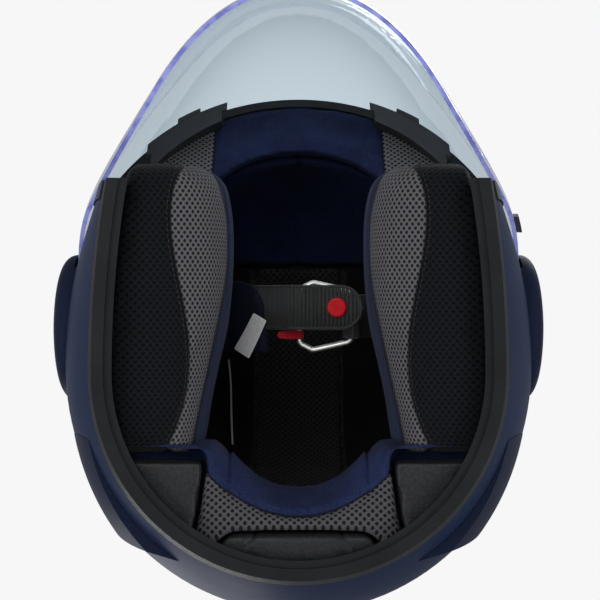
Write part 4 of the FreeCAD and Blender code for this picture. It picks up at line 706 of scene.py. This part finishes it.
def groove(piece, distance, depth, width):
    """Press a seam into a cushion where a distance field passes zero."""
    press = depth * MM * np.exp(-np.square(distance / (width * MM)))
    move_to(piece.data, coordinates(piece.data) - normals(piece.data) * press[:, None])


def seam_curve(stations, offsets):
    """Smooth curve through read-off places, both in millimetres."""
    fit = np.polyfit(stations, offsets, 4)
    return lambda y: np.polyval(fit, np.clip(y / MM, min(stations), max(stations))) * MM


GREY_EDGE = seam_curve((-67, -36, -13, 15, 29, 50, 66), (55, 59.3, 56.6, 51.2, 50.8, 55.5, 62))
NAVY_EDGE = seam_curve((-67, -52, -33, -3.5, 25.6, 45, 69), (41, 34.5, 33.5, 35.5, 41, 46, 50))


def dress_pad(piece, node):
    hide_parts(node)
    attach(piece, "helmet")


def build_cheeks():
    for side in ("left", "right"):
        node = "cheek_pad_" + side
        piece = cushion("cheek_cushion_" + side, node, "cheek", voxel=3.2, levels=2, smooth=8)
        spots = coordinates(piece.data)
        rear = np.clip((spots[:, 1] / MM - 48) / 18, 0, 1)
        spots[:, 1] += 2.6 * MM * rear * rear * (3 - 2 * rear)
        move_to(piece.data, spots)
        x, y, z = np.abs(spots[:, 0]), spots[:, 1], spots[:, 2]
        grey = GREY_EDGE(y) - x
        navy = np.minimum(grey - 8 * MM, np.maximum(NAVY_EDGE(y) - x, z - 31 * MM))
        groove(piece, grey, 1.0, 1.6)
        groove(piece, navy, 1.2, 1.6)
        give_field(piece, "grey_part", grey)
        give_field(piece, "navy_part", navy)
        give_cloth_map(piece, z - x, y)
        dress_pad(piece, node)


def build_brow():
    piece = cushion("brow_cushion", "brow_pad", "brow", voxel=2.6, draw_in=0.1, cap=1.6, smooth=3)
    spots = coordinates(piece.data)
    spots[:, :2] *= 1.016
    move_to(piece.data, spots)
    x, y, z = spots.T
    part = np.abs(x) - 47.5 * MM
    groove(piece, part, 1.2, 1.5)
    give_field(piece, "mesh_part", part)
    give_cloth_map(piece, x, (z - y) * 0.7071)
    dress_pad(piece, "brow_pad")


def build_crown():
    centre_y, centre_z, radius = 15.5 * MM, 110 * MM, 100 * MM
    for name, node, look in (
        # The crown front pad gets the navy darkened as painted shade
        ("crown_front_cushion", "crown_front_pad", "deep_navy"),
        ("crown_centre_cushion", "crown_centre_pad", "strip"),
        ("crown_side_cushion_left", "crown_side_pad_left", "black_cloth"),
        ("crown_side_cushion_right", "crown_side_pad_right", "black_cloth"),
    ):
        piece = cushion(name, node, look, voxel=3.2, draw_in=0.7, cap=1.8, levels=1, smooth=5)
        spots = coordinates(piece.data)
        x, y, z = spots.T
        if node == "crown_front_pad":
            groove(piece, x, 1.6, 1.6)
        give_cloth_map(piece, x, radius * np.arctan2(y - centre_y, z - centre_z + 1e-6))
        dress_pad(piece, node)


# Inner contour of the neck roll, in millimetres across and along the helmet
NECK_CONTOUR = ((0, 9, 15, 20, 27, 31, 36, 43), (84.7, 83.8, 81.4, 78.9, 73.4, 70.2, 66.2, 62))


def build_neck():
    piece = cushion("neck_cushion", "neck_roll", "neck", voxel=3.0, levels=1, smooth=7)
    spots = coordinates(piece.data)
    x, y, z = spots.T
    across = np.abs(x) / MM
    solid = 70 + 17 * np.sqrt(np.maximum(1 - np.square(across / 33), 0))
    seen = np.interp(across, NECK_CONTOUR[0], NECK_CONTOUR[1])
    share = np.clip(1 - (y / MM - solid) / 22, 0, 1) * (z > 8 * MM)
    spots[:, 1] -= np.clip(solid - seen, 0, 6.5) * share * MM
    move_to(piece.data, spots)
    edge = (97.6 - 19.2 * np.square(np.minimum(across, 60) / 42.6)) * MM
    part = np.minimum(y - edge, np.minimum(24 * MM - z, (45.5 * MM - np.abs(x)) + 0.15 * (y - 70 * MM)))
    groove(piece, part, 1.3, 1.8)
    give_field(piece, "mesh_part", part)
    give_cloth_map(piece, x, y - z)
    dress_pad(piece, "neck_roll")
    for node in ("corner_pad_left", "corner_pad_right", "nape_panel"):
        name = node.replace("pad", "cover").replace("panel", "cover")
        panel = cushion(name, node, "leather", voxel=2.2, draw_in=0.4, cap=1.4, levels=1, smooth=4)
        if node == "nape_panel":
            spots = coordinates(panel.data)
            seam = np.interp(spots[:, 1] / MM, (104, 105.8, 110.5, 116.3, 124), (19.5, 19.9, 24, 28.3, 33)) * MM
            groove(panel, np.abs(spots[:, 0]) - seam, 1.1, 0.9)
        dress_pad(panel, node)


# Webbing, built as parallel cords by a node tree
def tree_with(name, sockets):
    """Empty geometry tree with a geometry in and out and named sizes."""
    tree = bpy.data.node_groups.new(name, "GeometryNodeTree")
    tree.interface.new_socket("Geometry", in_out="INPUT", socket_type="NodeSocketGeometry")
    tree.interface.new_socket("Geometry", in_out="OUTPUT", socket_type="NodeSocketGeometry")
    for label, kind, value in sockets:
        socket = tree.interface.new_socket(label, in_out="INPUT", socket_type=kind)
        if value is not None:
            socket.default_value = value
    return tree, tree.nodes.new("NodeGroupInput"), tree.nodes.new("NodeGroupOutput")


def tree_math(tree, operation, *values):
    node = tree.nodes.new("ShaderNodeMath")
    node.operation = operation
    for socket, value in zip(node.inputs, values):
        if isinstance(value, bpy.types.NodeSocket):
            tree.links.new(value, socket)
        else:
            socket.default_value = value
    return node.outputs[0]


def even_points(tree, start):
    """Points at one pitch along the incoming route."""
    route = tree.nodes.new("GeometryNodeMeshToCurve")
    tree.links.new(start.outputs["Geometry"], route.inputs[0])
    even = tree.nodes.new("GeometryNodeCurveToPoints")
    even.mode = "LENGTH"
    tree.links.new(route.outputs[0], even.inputs["Curve"])
    tree.links.new(start.outputs["Pitch"], even.inputs["Length"])
    return even


def close_tree(tree, start, end, geometry):
    """Make the geometry plain, give it the finish and send it out."""
    whole = tree.nodes.new("GeometryNodeRealizeInstances")
    tree.links.new(geometry, whole.inputs[0])
    finish = tree.nodes.new("GeometryNodeSetMaterial")
    tree.links.new(whole.outputs[0], finish.inputs["Geometry"])
    tree.links.new(start.outputs["Finish"], finish.inputs["Material"])
    tree.links.new(finish.outputs[0], end.inputs[0])
    return tree


def webbing_tree():
    """Cross ribs laid side by side along a route in the XZ plane, shorter towards the round tip."""
    tree, start, end = tree_with(
        "webbing_ribs",
        (
            ("Pitch", "NodeSocketFloat", 0.002),
            ("Width", "NodeSocketFloat", 0.023),
            ("Thickness", "NodeSocketFloat", 0.0017),
            ("Tip place", "NodeSocketFloat", 1.0),
            ("Finish", "NodeSocketMaterial", None),
        ),
    )
    link = tree.links.new
    even = even_points(tree, start)
    turn = tree.nodes.new("FunctionNodeAxesToRotation")
    turn.primary_axis = "Z"
    turn.secondary_axis = "Y"
    link(even.outputs["Tangent"], turn.inputs[0])
    turn.inputs[1].default_value = (0, 1, 0)
    half = tree_math(tree, "MULTIPLY", start.outputs["Width"], 0.5)
    spot = tree.nodes.new("GeometryNodeInputPosition")
    parts = tree.nodes.new("ShaderNodeSeparateXYZ")
    link(spot.outputs[0], parts.inputs[0])
    bend = tree_math(tree, "SUBTRACT", start.outputs["Tip place"], half)
    past = tree_math(tree, "MAXIMUM", tree_math(tree, "SUBTRACT", parts.outputs["X"], bend), 0.0)
    squares = [tree_math(tree, "MULTIPLY", value, value) for value in (half, past)]
    room = tree_math(tree, "SUBTRACT", *squares)
    reach = tree_math(tree, "SQRT", tree_math(tree, "MAXIMUM", room, 1e-7))
    rib = tree.nodes.new("GeometryNodeMeshCylinder")
    rib.inputs["Vertices"].default_value = 12
    rib.inputs["Radius"].default_value = 1.0
    rib.inputs["Depth"].default_value = 2.0
    lying = tree.nodes.new("GeometryNodeTransform")
    link(rib.outputs["Mesh"], lying.inputs["Geometry"])
    lying.inputs["Rotation"].default_value = (math.pi / 2, 0, 0)
    form = tree.nodes.new("ShaderNodeCombineXYZ")
    link(tree_math(tree, "MULTIPLY", start.outputs["Thickness"], 0.5), form.inputs[0])
    link(reach, form.inputs[1])
    link(tree_math(tree, "MULTIPLY", start.outputs["Pitch"], 0.44), form.inputs[2])
    copies = tree.nodes.new("GeometryNodeInstanceOnPoints")
    link(even.outputs["Points"], copies.inputs["Points"])
    link(lying.outputs[0], copies.inputs["Instance"])
    link(turn.outputs[0], copies.inputs["Rotation"])
    link(form.outputs[0], copies.inputs["Scale"])
    return close_tree(tree, start, end, copies.outputs[0])


def edge_tree():
    """Round woven edge along a route."""
    tree, start, end = tree_with(
        "webbing_edge", (("Edge radius", "NodeSocketFloat", 0.0009), ("Finish", "NodeSocketMaterial", None))
    )
    link = tree.links.new
    route = tree.nodes.new("GeometryNodeMeshToCurve")
    link(start.outputs["Geometry"], route.inputs[0])
    section = tree.nodes.new("GeometryNodeCurvePrimitiveCircle")
    section.inputs["Resolution"].default_value = 8
    link(start.outputs["Edge radius"], section.inputs["Radius"])
    solid = tree.nodes.new("GeometryNodeCurveToMesh")
    link(route.outputs[0], solid.inputs["Curve"])
    link(section.outputs[0], solid.inputs["Profile Curve"])
    solid.inputs["Fill Caps"].default_value = True
    return close_tree(tree, start, end, solid.outputs[0])


def stitch_tree():
    """Short threads laid end to end along a seam."""
    tree, start, end = tree_with(
        "seam_stitches",
        (
            ("Pitch", "NodeSocketFloat", 0.0026),
            ("Thread radius", "NodeSocketFloat", 0.00022),
            ("Stitch length", "NodeSocketFloat", 0.0018),
            ("Finish", "NodeSocketMaterial", None),
        ),
    )
    link = tree.links.new
    even = even_points(tree, start)
    thread = tree.nodes.new("GeometryNodeMeshUVSphere")
    thread.inputs["Segments"].default_value = 6
    thread.inputs["Rings"].default_value = 4
    link(start.outputs["Thread radius"], thread.inputs["Radius"])
    slim = tree.nodes.new("GeometryNodeTransform")
    link(thread.outputs[0], slim.inputs["Geometry"])
    long = tree.nodes.new("ShaderNodeCombineXYZ")
    long.inputs[0].default_value = 1.0
    long.inputs[1].default_value = 1.0
    half = tree_math(tree, "MULTIPLY", start.outputs["Stitch length"], 0.5)
    share = tree_math(tree, "DIVIDE", half, start.outputs["Thread radius"])
    link(share, long.inputs[2])
    link(long.outputs[0], slim.inputs["Scale"])
    copies = tree.nodes.new("GeometryNodeInstanceOnPoints")
    link(even.outputs["Points"], copies.inputs["Points"])
    link(slim.outputs[0], copies.inputs["Instance"])
    link(even.outputs["Rotation"], copies.inputs["Rotation"])
    return close_tree(tree, start, end, copies.outputs[0])


def grown(name, tree, chains, **sizes):
    """Plain mesh that a tree makes from chains of points, each chain a path in metres."""
    mesh = bpy.data.meshes.new(name)
    spots, edges = [], []
    for chain in chains:
        first = len(spots)
        spots += [tuple(spot) for spot in chain]
        edges += [(index, index + 1) for index in range(first, len(spots) - 1)]
    mesh.from_pydata(spots, edges, [])
    piece = bpy.data.objects.new(name, mesh)
    scene.collection.objects.link(piece)
    growth = piece.modifiers.new("growth", "NODES")
    growth.node_group = tree
    labels = {item.name: item.identifier for item in tree.interface.items_tree if item.in_out == "INPUT"}
    for label, value in sizes.items():
        growth[labels[label.replace("_", " ")]] = value
    mesh = plain_mesh(piece, name)
    smooth_faces(mesh)
    return piece


def bent_route(corners, steps=7):
    """Points in the XZ plane along straight runs and round bends, from corners with radii in millimetres."""
    points = [Vector((corners[0][0], corners[0][1]))]
    for before, corner, after in zip(corners, corners[1:], corners[2:]):
        here = Vector(corner[:2])
        back = (Vector(before[:2]) - here).normalized()
        ahead = (Vector(after[:2]) - here).normalized()
        half = back.angle(ahead) / 2
        trim = corner[2] / math.tan(half)
        centre = here + (back + ahead).normalized() * (corner[2] / math.sin(half))
        first, last = here + back * trim - centre, here + ahead * trim - centre
        turn = first.angle_signed(last)
        for step in range(steps + 1):
            spin = Matrix.Rotation(-turn * step / steps, 2)
            points.append(centre + spin @ first)
    points.append(Vector((corners[-1][0], corners[-1][1])))
    return [Vector((point.x * MM, 0, point.y * MM)) for point in points]


# Corners of the strap routes as x, z and bend radius, in millimetres
LONG_CORNERS = (
    (-103.95, 86, 0), (-103.95, STRAP_SHELF, 2.2), (-36, STRAP_SHELF, 6), (-4, STRAP_LOW, 6),
    (STRAP_TIP_X, STRAP_LOW, 0),
)
SHORT_CORNERS = (
    (103.95, 86, 0), (103.95, STRAP_SHELF, 2.2), (42, STRAP_SHELF, 6), (30.7, 89.1, 3.2), (30.7, 70.8, 3.2),
    (24.3, 70.8, 3.2), (24.3, 83.1, 3.2), (27.5, 89.1, 0),
)


def build_straps(ribs, edges, stitches):
    """Ribbed webbing of both straps with its woven edges, and the stitches near the tip."""
    half, edge = STRAP_HALF * MM, 0.9 * MM
    for name, node, corners, middle, tip in (
        ("strap_long", "strap_long", LONG_CORNERS, STRAP_Y, STRAP_TIP_X * MM),
        ("strap_short", "strap_short", SHORT_CORNERS, RING_Y, 1.0),
    ):
        route = bent_route(corners)
        strap = grown(
            name + "_webbing", ribs, [route], Pitch=2.0 * MM, Width=2 * half - edge, Thickness=STRAP_THICKNESS * MM,
            Tip_place=tip - edge / 2, Finish=LOOKS["webbing"],
        )
        near = [spot + Vector((0, -half + edge, 0)) for spot in route]
        far = [spot + Vector((0, half - edge, 0)) for spot in route]
        if tip < 1:
            centre = Vector((tip - half, 0, STRAP_LOW * MM))
            near[-1].x = far[-1].x = centre.x
            turns = [math.pi * (step / 16 - 0.5) for step in range(1, 16)]
            round_end = [centre + Vector((math.cos(turn), math.sin(turn), 0)) * (half - edge) for turn in turns]
            chains = [near + round_end + far[::-1]]
        else:
            chains = [near, far]
        border = grown(name + "_edges", edges, chains, Edge_radius=edge, Finish=LOOKS["webbing"])
        for piece in (strap, border):
            move_to(piece.data, coordinates(piece.data) + np.array([0, middle * MM, 0], dtype=np.float32))
            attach(piece, "helmet")
        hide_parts(node)
    under = (STRAP_LOW - STRAP_THICKNESS / 2 - 0.1) * MM
    box = [(8.5, -8.5), (13.0, -8.5), (13.0, 8.5), (8.5, 8.5), (8.5, -8.5)]
    row = [Vector((x * MM, (STRAP_Y + y) * MM, under)) for x, y in box]
    thread = grown("strap_stitches", stitches, [row], Finish=LOOKS["thread"])
    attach(thread, "helmet")


def shelled(name, outline_pairs, look, body, nodes=()):
    """Closed strip of cloth from rows of four corners, rounded by a subdivision."""
    mesh = bpy.data.meshes.new(name)
    work = bmesh.new()
    rings = [[work.verts.new(spot) for spot in ring] for ring in outline_pairs]
    for first, second in zip(rings, rings[1:]):
        for index in range(len(first)):
            following = (index + 1) % len(first)
            work.faces.new((first[index], first[following], second[following], second[index]))
    work.faces.new(list(reversed(rings[0])))
    work.faces.new(rings[-1])
    bmesh.ops.recalc_face_normals(work, faces=work.faces)
    work.to_mesh(mesh)
    work.free()
    piece = new_piece(name, mesh, look)
    soften = piece.modifiers.new("soften", "SUBSURF")
    soften.levels = soften.render_levels = 2
    mesh = plain_mesh(piece, name)
    mesh.materials.clear()
    mesh.materials.append(LOOKS[look])
    smooth_faces(mesh)
    if nodes:
        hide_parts(*nodes)
    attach(piece, body)
    return piece


# Corners of the label on the sleeve's underside, in millimetres down the slope and along the helmet
LABEL_CORNERS = ((24.0, 3.2), (34.5, 7.2), (19.8, 27.3), (7.1, 22.6))


def build_sleeve():
    """Folded cloth sleeve round the falling part of the strap, with its blank label."""
    sleeve = cushion("sleeve_cover", "strap_sleeve", "sleeve", voxel=1.5, draw_in=0.2, air=2.0, cap=1.2, smooth=4)
    spots = coordinates(sleeve.data)
    across, along = spots[:, 0] + 34.5 * MM, 5.8 * MM - spots[:, 1]
    corner = (across > 0) & (along > 0)
    pull = np.maximum(across, along) / np.maximum(np.hypot(across, along), 1e-9)
    pull = np.where(corner, pull, 1)
    spots[:, 0] = across * pull - 34.5 * MM
    spots[:, 1] = 5.8 * MM - along * pull
    move_to(sleeve.data, spots)
    dress_pad(sleeve, "strap_sleeve")
    fall = math.atan2(STRAP_SHELF - STRAP_LOW, 32)
    down, along = Vector((math.cos(fall), 0, -math.sin(fall))), Vector((0, 1, 0))
    out = Vector((-math.sin(fall), 0, -math.cos(fall)))
    start = Vector((-36, 0, STRAP_SHELF)) + out * 3.7
    first, second, third, fourth = [(start + down * slope + along * y) * MM for slope, y in LABEL_CORNERS]
    rows = []
    for share in (0, 0.02, 0.12, 0.3, 0.5, 0.7, 0.88, 0.98, 1):
        left, right = first.lerp(fourth, share), second.lerp(third, share)
        lift = out * (0.12 * math.cos(share * 2 * math.pi) * MM)
        ring = []
        places = (0, 0.03, 0.5, 0.97, 1)
        for place, side in [(place, 1) for place in places] + [(place, -1) for place in reversed(places)]:
            ring.append(left.lerp(right, place) + out * (0.25 * side * MM) + lift)
        rows.append(ring)
    shelled("label_cloth", rows, "label", "helmet", ["sewn_label"])


def build_pull_tab():
    """Red tape folded round the nose of the lower ring."""
    nose, lift = RING_BAR_X - 27, 1.9
    low_y, high_y = 12.2, 16.9
    corners = ((nose - 12, RING_LEVEL - 1.2, 0), (nose - 3.5, RING_LEVEL - 1.5, 3), (nose + lift, RING_LEVEL - lift, 1.7),
               (nose + lift, RING_LEVEL + lift, 1.7), (nose - 3.5, RING_LEVEL + 1.5, 3), (nose - 12, RING_LEVEL + 1.2, 0))
    route = bent_route(corners, 5)
    rows = []
    for index, spot in enumerate(route):
        before, after = route[max(index - 1, 0)], route[min(index + 1, len(route) - 1)]
        along = (after - before).normalized()
        across = Vector((-along.z, 0, along.x)) * 0.4 * MM
        ring = []
        places = (low_y, (low_y + high_y) / 2, high_y)
        for y, sign in [(y, -1) for y in places] + [(y, 1) for y in reversed(places)]:
            ring.append(spot + across * sign + Vector((0, y * MM, 0)))
        rows.append(ring)
    shelled("pull_tape", rows, "red_tape", "lower_ring", ["pull_tab"])


def surface_path(piece, points, way, lift):
    """Points dropped on a piece's surface along a way, lifted back a little."""
    spots = [vertex.co.copy() for vertex in piece.data.vertices]
    tree = BVHTree.FromPolygons(spots, [tuple(face.vertices) for face in piece.data.polygons])
    path = []
    for point in points:
        spot, normal = tree.ray_cast(point, way)[:2]
        if spot is not None:
            path.append(spot + normal * lift)
    return path


def build_seams(stitches):
    """Stitches along the seams of the cheek pads and leatherette panels."""
    up = Vector((0, 0, 1))
    chains = []
    for side, sign in (("left", 1), ("right", -1)):
        cheek = bpy.data.objects["cheek_cushion_" + side]
        stations = np.linspace(-62, 62, 60) * MM
        line = [Vector((sign * (float(GREY_EDGE(y)) + 1.6 * MM), y, -0.05)) for y in stations]
        chains.append(surface_path(cheek, line, up, 0.1 * MM))
    for name, inset in (("corner_cover_left", 3.2), ("corner_cover_right", 3.2), ("nape_cover", 3.0)):
        panel = bpy.data.objects[name]
        spots = coordinates(panel.data)
        low, high = spots.min(axis=0) + inset * MM, spots.max(axis=0) - inset * MM
        if name.startswith("corner"):
            inner = low[0] if name.endswith("left") else high[0]
            line = [Vector((inner, y, -0.05)) for y in np.linspace(low[1], high[1] - 6 * MM, 24)]
        else:
            stations = np.linspace(low[0], high[0], 40)
            line = [Vector((x, low[1] + 1.5 * MM * (1 - (x / high[0]) ** 2), -0.05)) for x in stations]
        chains.append(surface_path(panel, line, up, 0.1 * MM))
    thread = grown("seam_threads", stitches, chains, Finish=LOOKS["thread"])
    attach(thread, "helmet")


def build_piping():
    """Thin pale piping on the deep side of the crown lining."""
    cushion_piece = bpy.data.objects["crown_side_cushion_right"]
    course = ((-43, 33), (-41.5, 44), (-41, 56), (-40.5, 68), (-39, 82))
    points = [Vector((x * MM, y * MM, 0.12)) for x, y in course]
    path = surface_path(cushion_piece, points, Vector((0, 0, 1)), 0.3 * MM)
    if len(path) < 3:
        return
    curve = bpy.data.curves.new("piping", "CURVE")
    curve.dimensions = "3D"
    curve.bevel_depth = 0.55 * MM
    curve.bevel_resolution = 2
    spline = curve.splines.new("NURBS")
    spline.points.add(len(path) - 1)
    for point, spot in zip(spline.points, path):
        point.co = (*spot, 1)
    spline.order_u = 4
    spline.use_endpoint_u = True
    holder = bpy.data.objects.new("piping_route", curve)
    scene.collection.objects.link(holder)
    mesh = bpy.data.meshes.new_from_object(holder.evaluated_get(bpy.context.evaluated_depsgraph_get()))
    bpy.data.objects.remove(holder)
    piece = new_piece("crown_piping", mesh, "pale_thread")
    smooth_faces(mesh)
    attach(piece, "helmet")


build_studio()
build_looks()
dress_nodes()
build_cheeks()
build_brow()
build_crown()
build_neck()
seam_stitches = stitch_tree()
build_straps(webbing_tree(), edge_tree(), seam_stitches)
build_sleeve()
build_pull_tab()
build_seams(seam_stitches)
build_piping()
